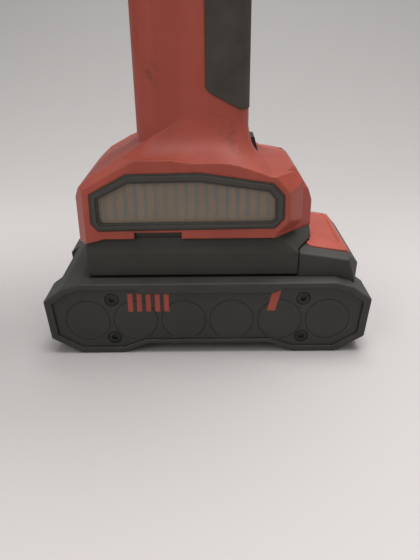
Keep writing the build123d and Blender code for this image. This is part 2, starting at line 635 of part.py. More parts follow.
def port_plug():
    """Soft plug over the service port; it stands a little proud of the flare."""
    z0, z1 = PORT_Z
    body = port_pocket(GAP)
    face = prism_y([(HANDLE_REAR - 9, z0 - 5), (HANDLE_REAR + PORT_LEAN + PORT_PROUD + 0.8, z0 - 5),
                    (HANDLE_REAR + PORT_LEAN + PORT_PROUD, z0), (HANDLE_REAR + PORT_PROUD + 0.6, z1),
                    (HANDLE_REAR - 9, z1)], -PORT_HALF_W, PORT_HALF_W)
    return body & face


def intake_grilles():
    """The slotted plate behind each filter."""
    grilles = []
    for sy in (-1, 1):
        y0, y1 = sorted((sy * (FOOT_HALF_W - 4.6), sy * (FOOT_HALF_W - 3.25)))
        plate = prism_y(grown(WINDOW, -0.3), y0, y1)
        for i in range(17):
            x = -40.2 + 4.1 * i
            slot = block(x - 1.1, x + 1.1, y0 - 1, y1 + 1, 58.6, 73)
            plate -= slot & prism_y(grown(MESH, -0.8), y0 - 1, y1 + 1)
        grilles.append(plate)
    return grilles


def filter_frame(sy):
    """Push-in frame with its mesh, seen from outside as a raised bezel."""
    face = FOOT_HALF_W + 0.8
    back = FOOT_HALF_W - 2.9
    body = prism_y(WINDOW, *sorted((sy * back, sy * FOOT_HALF_W)))
    body += prism_y(grown(WINDOW, -0.9), *sorted((sy * FOOT_HALF_W, sy * face)))
    body -= prism_y(MESH, *sorted((sy * (face - 2.3), sy * (face + 1))))
    body -= prism_y(grown(MESH, 0.9), *sorted((sy * (face - 0.8), sy * (face + 1))))
    body -= prism_y(grown(MESH, -0.8), *sorted((sy * (back - 1), sy * (face - 2.6))))
    return body


def controller():
    body = block(-38, 30, -22, 22, 54.2, 57.0)
    body += block(-36, 28, -20, 20, 56.9, 60.5)
    for x in (-28, -14, 0, 14):
        body += rod_z(x, 10, 4.2, 60.4, 69.5)
        body += block(x - 5, x + 5, -16, -6, 60.4, 64.0)
    return body


def motor_covers():
    """Vented discs over the two ends of the flywheel motor."""
    covers = []
    cz = flywheel_z()
    for sy in (-1, 1):
        body = rod_y(FLYWHEEL_X, cz, CAP_R, *sorted((sy * 27.5, sy * (HEAD_HALF_W + 1.5))))
        body -= rod_y(FLYWHEEL_X, cz, CAP_R - 2.2, *sorted((sy * 27.0, sy * (HEAD_HALF_W - 1))))
        for i in range(12):
            slot = block(9.5, 17.5, *sorted((sy * 26, sy * 40)), -1.3, 1.3)
            body -= Pos(FLYWHEEL_X, 0, cz) * Rot(0, 30 * i, 0) * slot
        body -= rod_y(FLYWHEEL_X, cz, 6.0, *sorted((sy * (HEAD_HALF_W + 0.8), sy * 40)))
        covers.append(body)
    return covers


def front_shroud():
    shell = head_solid() - head_solid(SHELL_WALL)
    body = shell & block(-120, SHROUD_X - 0.1, -60, 60, 150, 320)
    body -= block(-120, -80, -17.4, 17.4, 225.4, 265.6)
    for y, z in CAP_SCREWS:
        boss = rod_x(y, z, 3.8, FRONT_SCREW_X[0] - 3, SHROUD_X - 0.1)
        boss += block(FRONT_SCREW_X[0], SHROUD_X - 0.1, *sorted((y, math.copysign(HEAD_HALF_W - 1, y))), z - 2, z + 2)
        body += boss & head_solid()
        body -= rod_x(y, z, 1.5, -100, SHROUD_X + 1)
        body -= rod_x(y, z, HEAD_R + 0.3, -100, FRONT_SCREW_X[0])
    return body - block(-96, SHROUD_X + 1, -12, 12, 150, 200)


def rear_cap():
    shell = head_solid() - head_solid(SHELL_WALL)
    body = shell & block(REAR_CAP_X + 0.1, 80, -60, 60, 180, 320)
    for y, z in CAP_SCREWS:
        boss = rod_x(y, z, 3.8, REAR_CAP_X + 0.1, REAR_SCREW_X[0] + 2)
        boss += block(REAR_CAP_X + 0.1, REAR_SCREW_X[0], *sorted((y, math.copysign(HEAD_HALF_W - 1, y))), z - 2, z + 2)
        body += boss & head_solid()
        body -= rod_x(y, z, 1.5, REAR_CAP_X - 1, 60)
        body -= rod_x(y, z, HEAD_R + 0.3, REAR_SCREW_X[0], 60)
    for i in range(5):
        z = 229.5 + 8.6 * i
        body -= block(HEAD_REAR - 12, HEAD_REAR + 3, -14, 14, z - 1.4, z + 1.4)
    return body


# ---------------------------------------------------------------- drive
PLATE_SIDE = [(-91.0, 228), (-84, 216), (-70, 200), (-58, 194.5), (-30, 194.5), (-14, 206), (20, 212), (30, 222),
              (30, 262), (18, 273.5), (-66, 273.5), (-91.0, 262)]
TIE_PLACES = [(-88.0, 231.0), (-88.0, 260.0), (27.0, 241.0), (27.0, 258.0)]
SOLENOID_X = (0.0, 32.0)
SOLENOID_Z = 276.0
PLUNGER_TRAVEL = 4.0
FOLLOWER = (-32.0, 266.5)
FOLLOWER_R = 2.0


def roller_at():
    return (FLYWHEEL_X, DRIVE_Z + CARRIER_H / 2 + 1.2 + ROLLER_R)


def side_plate(sy):
    y0, y1 = sorted((sy * PLATE_Y[0], sy * PLATE_Y[1]))
    body = prism_y(PLATE_SIDE, y0, y1)
    body -= rod_y(FLYWHEEL_X, flywheel_z(), BEARING_R + 0.05, y0 - 1, y1 + 1)
    body -= rod_y(*ARM_PIVOT, 2.05, y0 - 1, y1 + 1)
    for x, z in TIE_PLACES:
        body -= rod_y(x, z, 1.6, y0 - 1, y1 + 1)
        body -= rod_y(x, z, 2.8, *sorted((sy * (PLATE_Y[1] - 2.1), sy * (PLATE_Y[1] + 1))))
    body -= block(-8, 16, y0 - 1, y1 + 1, 222, 240)
    return body


def tie_tabs(x0, x1):
    """Blocks that carry the tie screws between the side plates."""
    return [(x, z) for x, z in TIE_PLACES if x0 < x < x1]


def rear_bridge():
    body = block(24.0, 30.0, -PLATE_Y[0] + 0.05, PLATE_Y[0] - 0.05, 237.5, 261.5)
    for y in (-ROD_Y, ROD_Y):
        body -= rod_x(y, ROD_Z, ROD_R + 0.05, 23, 28)
    for x, z in tie_tabs(20, 40):
        body -= rod_y(x, z, 1.25, -40, -8.8)
        body -= rod_y(x, z, 1.25, 8.8, 40)
    return body


def tie_screws():
    """Identical socket screws: side plates to the cross pieces, nose base to the nose."""
    screws = []
    for x, z in TIE_PLACES:
        for sy in (-1, 1):
            seat = sy * (PLATE_Y[1] - 2.05)
            end = sy * PLATE_Y[1]
            screw = rod_y(x, z, 1.2, *sorted((sy * 9.0, seat))) + rod_y(x, z, 2.6, *sorted((seat, end)))
            screws.append(screw - rod_y(x, z, 1.1, *sorted((end - sy, end + sy))))
    for y, z in NOSE_SCREWS:
        x = -103.45
        screws.append(rod_x(y, z, 1.2, x - 8.9, x) + rod_x(y, z, 2.6, x, x + 2.05) - rod_x(y, z, 1.1, x + 1, x + 3))
    return screws


def guide_rods():
    return [rod_x(y, ROD_Z, ROD_R, -97.0, 27.9) for y in (-ROD_Y, ROD_Y)]


EAR_X = (8.0, 18.0)


def return_springs():
    return [coil_x(y, ROD_Z, 3.35, 0.7, -92.4, EAR_X[0] - 0.1, 16) for y in (-ROD_Y, ROD_Y)]


def carrier():
    """The driven sled: friction face underneath, ears on the guide rods."""
    z0, z1 = DRIVE_Z - CARRIER_H / 2, DRIVE_Z + CARRIER_H / 2
    body = block(*CARRIER_X, -CARRIER_HALF_W, CARRIER_HALF_W, z0, z1)
    body = chamfer(body.edges().filter_by(Axis.Z), 1.5)
    for sy in (-1, 1):
        inner, outer = CARRIER_HALF_W - 1, ROD_Y + 3.6
        body += block(*EAR_X, *sorted((sy * inner, sy * outer)), z0 + 1.2, z1)
        body += rod_x(sy * ROD_Y, ROD_Z, 3.6, *EAR_X)
        body += block(*EAR_X, *sorted((sy * (ROD_Y - 3.5), sy * outer)), z1 - 1, ROD_Z)
        body -= rod_x(sy * ROD_Y, ROD_Z, ROD_R + 0.2, EAR_X[0] - 1, EAR_X[1] + 1)
    body -= block(CARRIER_X[0] - 1, CARRIER_X[0] + 16, -BLADE_HALF_W - 0.05, BLADE_HALF_W + 0.05,
                  DRIVE_Z - BLADE_T / 2 - 0.05, DRIVE_Z + BLADE_T / 2 + 0.05)
    return body


def driver_blade():
    tip = MUZZLE_X + STROKE
    return block(tip, CARRIER_X[0] + 15.8, -BLADE_HALF_W, BLADE_HALF_W, DRIVE_Z - BLADE_T / 2, DRIVE_Z + BLADE_T / 2)


def bumpers():
    front = block(-92.4, CARRIER_X[0] - STROKE - 1.0, -6.5, 6.5, 239.5, 252.5)
    front -= block(-93, -80, -BLADE_HALF_W - 0.6, BLADE_HALF_W + 0.6, DRIVE_Z - 1.4, DRIVE_Z + 1.4)
    rear = block(CARRIER_X[1] + 0.5, 23.95, -6.5, 6.5, 239.5, 252.5)
    return [front, rear]


def stator():
    z = flywheel_z()
    body = rod_y(FLYWHEEL_X, z, 17.8, -10.5, 7.5) - rod_y(FLYWHEEL_X, z, 6.0, -12, 9)
    for i in range(12):
        notch = block(8.6, 17.0, -13, 10, -1.25, 1.25)
        body -= Pos(FLYWHEEL_X, 0, z) * Rot(0, 30 * i, 0) * notch
    return body + (rod_y(FLYWHEEL_X, z, 10.5, -PLATE_Y[0] + 0.02, -10.4)
                   - rod_y(FLYWHEEL_X, z, BEARING_R + 0.4, -18, -10.5)
                   - rod_y(FLYWHEEL_X, z, 6.0, -18, 0))


def flywheel():
    """Wheel rim, web and shaft in one turned piece."""
    z = flywheel_z()
    rim = rod_y(FLYWHEEL_X, z, FLYWHEEL_R, -FLYWHEEL_HALF_W, FLYWHEEL_HALF_W)
    rim -= rod_y(FLYWHEEL_X, z, 20.6, -FLYWHEEL_HALF_W - 1, 9.0)
    for y in (-6.0, 0.0, 6.0):
        rim -= rod_y(FLYWHEEL_X, z, 30, y - 0.7, y + 0.7) - rod_y(FLYWHEEL_X, z, FLYWHEEL_R - 0.7, y - 2, y + 2)
    shaft = rod_y(FLYWHEEL_X, z, SHAFT_R, -PLATE_Y[1] + 0.3, PLATE_Y[1] - 0.3)
    return rim + shaft


def flywheel_magnets():
    z = flywheel_z()
    ring = rod_y(FLYWHEEL_X, z, 20.5, -9.5, 6.5) - rod_y(FLYWHEEL_X, z, 18.4, -10, 7)
    magnets = []
    for i in range(14):
        wedge = Pos(FLYWHEEL_X, 0, z) * Rot(0, 360 / 14 * i, 0) * block(10, 25, -12, 10, -3.9, 3.9)
        magnets.append((ring & wedge).solids()[0])
    return magnets


def bearings():
    rings = []
    for sy in (-1, 1):
        y0, y1 = sorted((sy * (PLATE_Y[1] - BEARING_W), sy * PLATE_Y[1]))
        ring = rod_y(FLYWHEEL_X, flywheel_z(), BEARING_R, y0, y1)
        ring -= rod_y(FLYWHEEL_X, flywheel_z(), SHAFT_R + 0.05, y0 - 1, y1 + 1)
        for y in (y0, y1):
            groove = rod_y(FLYWHEEL_X, flywheel_z(), 6.6, y - 0.3, y + 0.3)
            ring -= groove - rod_y(FLYWHEEL_X, flywheel_z(), 5.4, y - 1, y + 1)
        rings.append(ring)
    return rings


def pinch_arm():
    """Two cheeks that carry the pinch roller, joined over the top."""
    rx, rz = roller_at()
    px, pz = ARM_PIVOT
    body = None
    for sy in (-1, 1):
        y0, y1 = sorted((sy * 5.6, sy * 7.6))
        cheek = prism_y([(rx - 4, rz - 3.2), (rx + 4, rz - 4.6), (px + 1, pz - 4.0), (px + 4, pz), (px + 1, pz + 4.0),
                         (FOLLOWER[0] + 5, FOLLOWER[1] + 3), (FOLLOWER[0] - 4, FOLLOWER[1] + 3), (rx - 4, rz + 3.4)],
                        y0, y1)
        cheek += rod_y(px, pz, 4.0, *sorted((sy * 5.6, sy * 9.5)))
        body = cheek if body is None else body + cheek
    body += block(-21.5, -15, -6, 6, 262.0, 267.5)
    body += rod_y(*FOLLOWER, FOLLOWER_R, -6, 6)
    body += rod_y(rx, rz, 2.0, -6, 6)
    return body - rod_y(px, pz, 2.15, -12, 12)


def pinch_roller():
    rx, rz = roller_at()
    return rod_y(rx, rz, ROLLER_R, -5.2, 5.2) - rod_y(rx, rz, 2.15, -8, 8)


def pivot_pins():
    """Plain pins of the same diameter: pinch arm, trigger, nose door."""
    return [rod_y(*ARM_PIVOT, 2.0, -PLATE_Y[1] + 0.1, PLATE_Y[1] - 0.1), rod_y(*TRIGGER_PIVOT, 2.0, -12.0, 12.0)]


def solenoid():
    x0, x1 = SOLENOID_X
    body = block(x0, x1, -8, 8, SOLENOID_Z - 8, SOLENOID_Z + 7)
    body -= rod_x(0, SOLENOID_Z, 3.2, x0 - 1, x1 - 3)
    for sy in (-1, 1):
        body += block(x0 + 4, x1 - 4, *sorted((sy * 7.9, sy * 15.5)), SOLENOID_Z - 8, SOLENOID_Z - 6)
    return body


def plunger():
    """Solenoid plunger with the wedge that bears on the pinch arm."""
    fall = math.radians(1.6) * abs(FOLLOWER[0] - ARM_PIVOT[0]) / PLUNGER_TRAVEL
    top = FOLLOWER[1] + FOLLOWER_R + 0.15
    x0, x1 = FOLLOWER[0] - 4, FOLLOWER[0] + 9
    wedge = prism_y([(x0, top + 4 * fall), (x1, top - 9 * fall), (x1, SOLENOID_Z + 3), (x0, SOLENOID_Z + 3)],
                    -4.8, 4.8)
    return wedge + rod_x(0, SOLENOID_Z, 3.0, x1 - 1, SOLENOID_X[1] - 12)


# ---------------------------------------------------------------- nose and magazine
TRIP_Y = (9.0, 10.6)
TRIP_Z = (240.6, 248.6)
RING_Z = (240.0, 253.4)        # height of the trip ring, open below so that it clears the nose
DOOR_PIVOT = (-140.0, 254.0)
NOSE_SCREWS = [(-5.0, 236.0), (5.0, 236.0)]
LATCH_PIVOT = (-101.5, 257.5)


def nose_base():
    """Cast base between the side plates that carries the nose and the rod ends."""
    body = block(-108, -92.5, -PLATE_Y[0] + 0.1, PLATE_Y[0] - 0.1, 226, 265)
    for z0, z1 in ((227.5, 234.5), (256.8, 263.5)):
        body += block(-93, -84.5, -PLATE_Y[0] + 0.1, PLATE_Y[0] - 0.1, z0, z1)
    body -= block(-120, -90, -1.8, 1.8, DRIVE_Z - 1.4, DRIVE_Z + 1.4)
    for y in (-ROD_Y, ROD_Y):
        body -= rod_x(y, ROD_Z, ROD_R + 0.05, -97.1, -80)
        body -= rod_x(y, ROD_Z, 4.6, -92.5, -80)
    for x, z in tie_tabs(-95, -80):
        body -= rod_y(x, z, 1.25, -40, -8.8)
        body -= rod_y(x, z, 1.25, 8.8, 40)
    for sy in (-1, 1):
        body -= block(-120, -90, *sorted((sy * (TRIP_Y[0] - SLIDE_GAP), sy * (TRIP_Y[1] + SLIDE_GAP))),
                      TRIP_Z[0] - SLIDE_GAP, TRIP_Z[1] + SLIDE_GAP)
        ear = block(-105, -98, *sorted((sy * 5.4, sy * 8.0)), 250, 262)
        body -= block(-109, -94.8, *sorted((sy * 0, sy * 5.4)), 251.2, 266)
        body += ear & block(-108, -92, -20, 20, 226, 265)
    body += rod_y(*LATCH_PIVOT, 1.2, -8.0, 8.0)
    for y, z in NOSE_SCREWS:
        body -= rod_x(y, z, 1.25, -109, -103)
        body -= rod_x(y, z, 2.8, -103.5, -92)
    return body


def nose():
    """Hardened nose: brad channel open to the magazine, driver channel open to the door."""
    body = block(-144.5, -108.05, -NOSE_HALF_W, NOSE_HALF_W, 232, 251)
    body += block(-150, -144.4, -NOSE_HALF_W, NOSE_HALF_W, 232, 239.5)
    body += block(MUZZLE_X, -144.4, -3.5, 3.5, 239.4, 251)
    body -= block(*BRAD_SLOT_X, -BRAD_SLOT_HALF, BRAD_SLOT_HALF, 230, 247)
    body -= block(MUZZLE_X - 1, -107, -BRAD_SLOT_HALF, BRAD_SLOT_HALF, DRIVE_Z - 0.8, DRIVE_Z + 0.9)
    body -= block(DOOR_PIVOT[0] - 0.1, -111.5, -6.2, 6.2, 246.9, 252)
    body -= block(-112, -107, -6.2, 6.2, 249.3, 252)
    for sy in (-1, 1):
        body += block(-143.2, -136.8, *sorted((sy * 6.3, sy * 8.4)), 250.9, 257.2)
    body += rod_y(*DOOR_PIVOT, 1.2, -8.4, 8.4)
    for y, z in NOSE_SCREWS:
        body -= rod_x(y, z, 1.25, -115, -108)
    return body


def nose_door():
    px, pz = DOOR_PIVOT
    body = block(px + 0.3, -112.0, -5.8, 5.8, 247.1, 251.0)
    body += block(px + 0.3, px + 3.2, -5.8, 5.8, 249, 256)
    body += rod_y(px, pz, 2.7, -5.9, 5.9)
    body -= rod_y(px, pz, 1.35, -8, 8)
    body -= block(px - 6, px - 2.75, -9, 9, 245, 260)
    for i in range(5):
        body -= block(-134 + 4 * i, -132.6 + 4 * i, -4, 4, 250.2, 252)
    return body


def door_latch():
    px, pz = LATCH_PIVOT
    body = rod_y(px, pz, 2.6, -5.0, 5.0)
    body += prism_y([(px - 1, pz - 2.4), (-111.1, 252.2), (-111.1, 249.9), (-110.0, 249.9), (-109.3, 251.6),
                     (px + 1, 251.6), (px + 2, pz)], -5.0, 5.0)
    body += block(px - 1.2, px + 1.2, -5.0, 5.0, pz, 264.0)
    return body - rod_y(px, pz, 1.35, -8, 8)


def contact_trip():
    """Frame that the work pushes back: muzzle ring, two rails and the depth screw bracket."""
    ring = block(-160, -153.2, -TRIP_Y[1], TRIP_Y[1], RING_Z[0], RING_Z[1])
    ring -= block(-161, -150, -4.2, 4.2, RING_Z[0] - 1, RING_Z[1] - 1.8)
    body = ring
    for sy in (-1, 1):
        rail = block(-154, -94, *sorted((sy * TRIP_Y[0], sy * TRIP_Y[1])), *TRIP_Z)
        body += rail
    for x0, x1 in ((-136.0, -133.6), (-124.4, -122.0)):
        body += block(x0, x1, TRIP_Y[1] - 0.4, 21.0, TRIP_Z[0], TRIP_Z[1])
    body += rod_x(WHEEL_AT[0], WHEEL_AT[1], 1.8, -134, -116)
    body += block(-126.0, -123.0, -17.0, -TRIP_Y[1] + 0.4, TRIP_Z[0], TRIP_Z[1])
    return body + rod_x(TRIP_SPRING[0], TRIP_SPRING[1], 1.3, -123.5, -119)


WHEEL_AT = (17.0, 244.6)
TRIP_SPRING = (-13.6, 244.6)


def depth_wheel():
    body = rod_x(*WHEEL_AT, 5.6, -133.3, -124.7) - rod_x(*WHEEL_AT, 2.0, -134, -124)
    for i in range(16):
        notch = rod_x(5.9, 0, 0.7, -134, -124)
        body -= Pos(0, *WHEEL_AT) * Rot(22.5 * i, 0, 0) * notch
    return body


def trip_spring():
    return coil_x(*TRIP_SPRING, 2.4, 0.6, -122.8, -108.1, 6)


def no_mar_tip():
    body = block(-162.6, -158.2, -TRIP_Y[1] - 1.5, TRIP_Y[1] + 1.5, RING_Z[0] - 3.0, RING_Z[1] + 1.5)
    body -= block(-160.02, -156, -TRIP_Y[1] - 0.02, TRIP_Y[1] + 0.02, RING_Z[0] - 0.02, RING_Z[1] + 0.02)
    return body - block(-163, -156, -4.4, 4.4, RING_Z[0] - 1.2, RING_Z[1] - 1.6)


def magazine_body():
    """Fixed half of the magazine with the rails for the sliding cover."""
    x0, x1 = MAG_X
    z0, z1 = MAG_Z[0] + 14, MAG_Z[1]
    body = block(x0, x1, -8, -BRAD_SLOT_HALF, z0, z1)
    for low, high in ((x0, x0 + 2.8), (x1 - 2.8, x1)):
        body += block(low, high, -BRAD_SLOT_HALF - 0.1, 3.2, z0, z1)
    body -= block(x0 + 1.6, x1 - 1.6, 1.7, 2.7, z0 - 1, z1 + 1)
    for i in range(5):
        z = z0 + 10 + 20 * i
        body -= block(x0 + 7, x1 - 7, -9, -6.6, z, z + 14)
    body -= block(-108.3, -100, -9, 9, 225.8, 240)
    arm = block(x1 - 0.1, -95.0, -7.9, 3.2, 207, 225.8)
    return body + arm - block(x1 + 3, -98.0, -9, 9, 210, 222)


def magazine_cover():
    """Sliding half of the magazine: pull down to load."""
    x0, x1 = MAG_X
    z0, z1 = MAG_Z
    body = block(x0 + 3.1, x1 - 3.1, BRAD_SLOT_HALF + 0.1, 8, z0 + 10, z1 - 0.2)
    body += block(x0 + 1.9, x1 - 1.9, 1.9, 2.5, z0 + 14.2, z1 - 0.2)
    body -= block(x0 + 6.5, x1 - 6.5, 0, 6.4, z0 + 13, z1 - 3.0)
    body += block(x0 - 0.5, x1 + 0.5, -8.5, 8.5, z0, z0 + 13.6)
    body -= block(x0 + 10, x1 - 10, 5, 9, z0 + 20, z0 + 105)
    return body - block(-108.3, -100, -9, 9, 225.8, 240)


def pusher():
    x0, x1 = MAG_X
    z = MAG_Z[1] - 3.4
    body = block(x0 + 6.9, x1 - 6.9, 1.6, 4.6, z - 16, z)
    return body + block(BRAD_SLOT_X[0] + 0.6, BRAD_SLOT_X[1] - 0.6, -0.85, 0.85, z - 8, z) + block(
        x0 + 8, x1 - 8, 0.8, 1.7, z - 8, z)


MAG_LATCH_PIVOT = (-101.6, 117.0)


def magazine_latch():
    px, pz = MAG_LATCH_PIVOT
    body = prism_y([(px - 1.2, pz - 9), (px + 2.4, pz - 9), (px + 1.4, pz), (px + 1.2, pz + 14), (px - 2.2, pz + 15),
                    (px - 2.2, pz + 12), (px - 1.2, pz + 10)], -4.5, 4.5)
    body += rod_y(px, pz, 2.2, -4.5, 4.5)
    return body - rod_y(px, pz, 1.1, -6, 6)


def magazine_latch_mount():
    px, pz = MAG_LATCH_PIVOT
    body = rod_y(px, pz, 1.0, -7.0, 7.0)
    for sy in (-1, 1):
        body += block(MAG_X[1] + 0.3, px + 2, *sorted((sy * 4.9, sy * 7.2)), pz - 3, pz + 3)
    return body


# ---------------------------------------------------------------- trigger and hook
def trigger():
    side = [(-33.6, 192.4), (-38.6, 181), (-40.4, 172), (-39.2, 163), (-41.2, 155.5), (-37.6, 154.2), (-32.6, 160),
            (-27.8, 170), (-26.8, 184), (-28.4, 192.4)]
    body = prism_y(side, -TRIGGER_HALF_W, TRIGGER_HALF_W, 0.6)
    return body - rod_y(*TRIGGER_PIVOT, 2.15, -20, 20)


def trigger_switch():
    body = block(-15.5, -2, -7, 7, 158, 177)
    body += block(-19.0, -15.4, -3, 3, 164, 171)
    for z in (160, 172):
        body += block(-2.1, 1.5, -2.5, 2.5, z, z + 2)
    return body


def trigger_lock():
    body = rod_y(*LOCK_AT, LOCK_R, -21.5, 21.5)
    return body - (rod_y(*LOCK_AT, 5, -7, 7) - rod_y(*LOCK_AT, 2.0, -8, 8))


def belt_hook():
    px, pz = HOOK_PIVOT
    y0 = HEAD_HALF_W + 0.4
    body = rod_y(px, pz, 8.5, y0, y0 + 2.6)
    body += block(px - 6, px + 6, y0, y0 + 2.6, 204, pz)
    body += block(px - 6, px + 6, y0, y0 + 18, 202, 204.6)
    body += block(px - 6, px + 6, y0 + 15.4, y0 + 18, 202, 238)
    return body + rod_y(px, pz, HOOK_STUD_R, 23, y0 + 0.1) + rod_y(px, pz, 4.4, y0 + 2.5, y0 + 4.4)


def power_leads():
    """Two insulated leads from the controller up the handle."""
    leads = []
    for y in (-3.2, 3.2):
        path = Polyline((6, y, 66), (6, y, 196), (2, y, 203), (-4, y, 206))
        leads.append(sweep(Plane(origin=path @ 0, z_dir=path % 0) * Circle(1.3), path=path,
                           transition=Transition.ROUND))
    return leads


PARTS = {}


def add(name, shape):
    PARTS[name] = shape


def export_all():
    os.makedirs("parts", exist_ok=True)
    for name, shape in PARTS.items():
        solids = shape if isinstance(shape, list) else shape.solids()
        kept = Compound(children=list(solids)) if len(solids) > 1 else solids[0]
        kept.label = name
        export_step(kept, f"parts/{name}.step")


def build_battery():
    add("battery_case", battery_case())
    add("battery_side_cover_left", battery_side_cover(-1))
    add("battery_side_cover_right", battery_side_cover(1))
    add("battery_top", battery_top())
    add("battery_contacts", battery_contacts())
    add("battery_board", battery_board())
    add("battery_cells", [rod_y(x, CELL_Z, CELL_R, -CELL_L / 2, CELL_L / 2) for x in CELL_X])
    add("cell_holders", cell_holder(-1) + cell_holder(1))
    add("pack_screws", [pack_screw(x, z, sy) for x, z in pack_screw_places() for sy in (-1, 1)])
    add("battery_latch", battery_latch())
    add("latch_springs", latch_springs())


def build_body():
    shell = housing()
    big = 400
    add("housing_left", shell & block(-big, big, -big, -SEAM / 2, -big, big))
    add("housing_right", shell & block(-big, big, SEAM / 2, big, -big, big))
    add("grip_pad", grip_pad())
    add("port_plug", port_plug())
    add("battery_receiver", receiver())
    add("terminal_block", terminal_block())
    add("controller", controller())
    add("intake_grilles", intake_grilles())
    add("filter_left", filter_frame(-1))
    add("filter_right", filter_frame(1))
    add("motor_covers", motor_covers())
    add("front_shroud", front_shroud())
    add("rear_cap", rear_cap())
    add("housing_screws", housing_screws())
    add("power_leads", power_leads())
    add("trigger", trigger())
    add("trigger_switch", trigger_switch())
    add("trigger_lock", trigger_lock())
    add("belt_hook", belt_hook())


def build_drive():
    add("side_plate_left", side_plate(-1))
    add("side_plate_right", side_plate(1))
    add("rear_bridge", rear_bridge())
    add("tie_screws", tie_screws())
    add("guide_rods", guide_rods())
    add("return_springs", return_springs())
    add("carrier", carrier())
    add("driver_blade", driver_blade())
    add("bumpers", bumpers())
    add("stator", stator())
    add("flywheel", flywheel())
    add("flywheel_magnets", flywheel_magnets())
    add("bearings", bearings())
    add("pinch_arm", pinch_arm())
    add("pinch_roller", pinch_roller())
    add("pivot_pins", pivot_pins())
    add("solenoid", solenoid())
    add("solenoid_plunger", plunger())


def build_nose():
    add("nose_base", nose_base())
    add("nose", nose())
    add("nose_door", nose_door())
    add("door_latch", door_latch())
    add("contact_trip", contact_trip())
    add("no_mar_tip", no_mar_tip())
    add("depth_wheel", depth_wheel())
    add("trip_spring", trip_spring())
    add("magazine_body", magazine_body())
    add("magazine_cover", magazine_cover() + magazine_latch_mount())
    add("pusher", pusher())
    add("magazine_latch", magazine_latch())


build_battery()
build_body()
build_drive()
build_nose()
export_all()
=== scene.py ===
"""Looks for the cordless brad nailer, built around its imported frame. Metres; the nose points along -X, the
left side faces -Y and the tool stands on its battery pack."""
import json
import math

import bmesh
import bpy
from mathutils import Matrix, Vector


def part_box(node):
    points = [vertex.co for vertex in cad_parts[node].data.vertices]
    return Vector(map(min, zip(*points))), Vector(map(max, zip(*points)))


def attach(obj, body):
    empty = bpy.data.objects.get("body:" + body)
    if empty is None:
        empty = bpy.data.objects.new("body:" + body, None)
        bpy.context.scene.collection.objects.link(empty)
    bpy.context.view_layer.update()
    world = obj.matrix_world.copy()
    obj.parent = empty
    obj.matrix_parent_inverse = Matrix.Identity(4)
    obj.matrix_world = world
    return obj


MM = 0.001
SMOOTH_ANGLE = math.radians(35)
FLAT_COSINE = 0.995
EDGE_COSINE = 0.80

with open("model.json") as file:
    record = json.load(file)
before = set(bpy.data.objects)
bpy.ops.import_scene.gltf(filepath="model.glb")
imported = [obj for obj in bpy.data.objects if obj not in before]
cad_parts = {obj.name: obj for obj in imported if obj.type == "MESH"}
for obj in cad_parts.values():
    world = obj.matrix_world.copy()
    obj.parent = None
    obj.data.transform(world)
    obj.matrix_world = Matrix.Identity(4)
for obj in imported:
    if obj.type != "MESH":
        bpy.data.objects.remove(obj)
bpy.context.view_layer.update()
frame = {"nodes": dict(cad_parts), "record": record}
nodes = frame["nodes"]


# ---------------------------------------------------------------- finishes
def fresh_finish(name):
    """A node material with its shader, and a few handles to wire it up."""
    finish = bpy.data.materials.new(name)
    finish.use_nodes = True
    tree = finish.node_tree
    shader = tree.nodes["Principled BSDF"]
    place = tree.nodes.new("ShaderNodeTexCoord")
    return finish, tree, shader, place.outputs["Object"]


def speckle(tree, place, scale, detail=3.0, rough=0.6, stretch=None):
    """Noise over the object's own coordinates; stretch draws it out into brush lines."""
    if stretch:
        turn = tree.nodes.new("ShaderNodeMapping")
        turn.inputs["Scale"].default_value = stretch
        tree.links.new(place, turn.inputs["Vector"])
        place = turn.outputs["Vector"]
    noise = tree.nodes.new("ShaderNodeTexNoise")
    noise.inputs["Scale"].default_value = scale
    noise.inputs["Detail"].default_value = detail
    noise.inputs["Roughness"].default_value = rough
    tree.links.new(place, noise.inputs["Vector"])
    return noise.outputs["Fac"]


def spread(tree, value, low, high, to_low=0.0, to_high=1.0):
    """Maps a value's range low..high to to_low..to_high."""
    node = tree.nodes.new("ShaderNodeMapRange")
    node.inputs["From Min"].default_value = low
    node.inputs["From Max"].default_value = high
    node.inputs["To Min"].default_value = to_low
    node.inputs["To Max"].default_value = to_high
    tree.links.new(value, node.inputs["Value"])
    return node.outputs["Result"]


def blend_colours(tree, factor, first, second):
    """Mix of two colours; each is a colour tuple or a socket."""
    mix = tree.nodes.new("ShaderNodeMix")
    mix.data_type = "RGBA"
    if isinstance(factor, float):
        mix.inputs["Factor"].default_value = factor
    else:
        tree.links.new(factor, mix.inputs["Factor"])
    for socket, colour in ((mix.inputs[6], first), (mix.inputs[7], second)):
        if isinstance(colour, tuple):
            socket.default_value = (*colour, 1.0)
        else:
            tree.links.new(colour, socket)
    return mix.outputs[2]


def combined(tree, operation, first, second):
    """One clamped arithmetic step; each operand is a number or a socket."""
    node = tree.nodes.new("ShaderNodeMath")
    node.operation = operation
    node.use_clamp = True
    for socket, value in zip(node.inputs, (first, second)):
        if isinstance(value, (int, float)):
            socket.default_value = value
        else:
            tree.links.new(value, socket)
    return node.outputs[0]


def soft_edges(tree, radius):
    """Rounded shading along hard edges, and how close a point is to one."""
    rounder = tree.nodes.new("ShaderNodeBevel")
    rounder.samples = 6
    rounder.inputs["Radius"].default_value = radius
    flat = tree.nodes.new("ShaderNodeNewGeometry")
    dot = tree.nodes.new("ShaderNodeVectorMath")
    dot.operation = "DOT_PRODUCT"
    tree.links.new(rounder.outputs["Normal"], dot.inputs[0])
    tree.links.new(flat.outputs["True Normal"], dot.inputs[1])
    nearness = spread(tree, dot.outputs["Value"], FLAT_COSINE, EDGE_COSINE)
    return rounder.outputs["Normal"], nearness


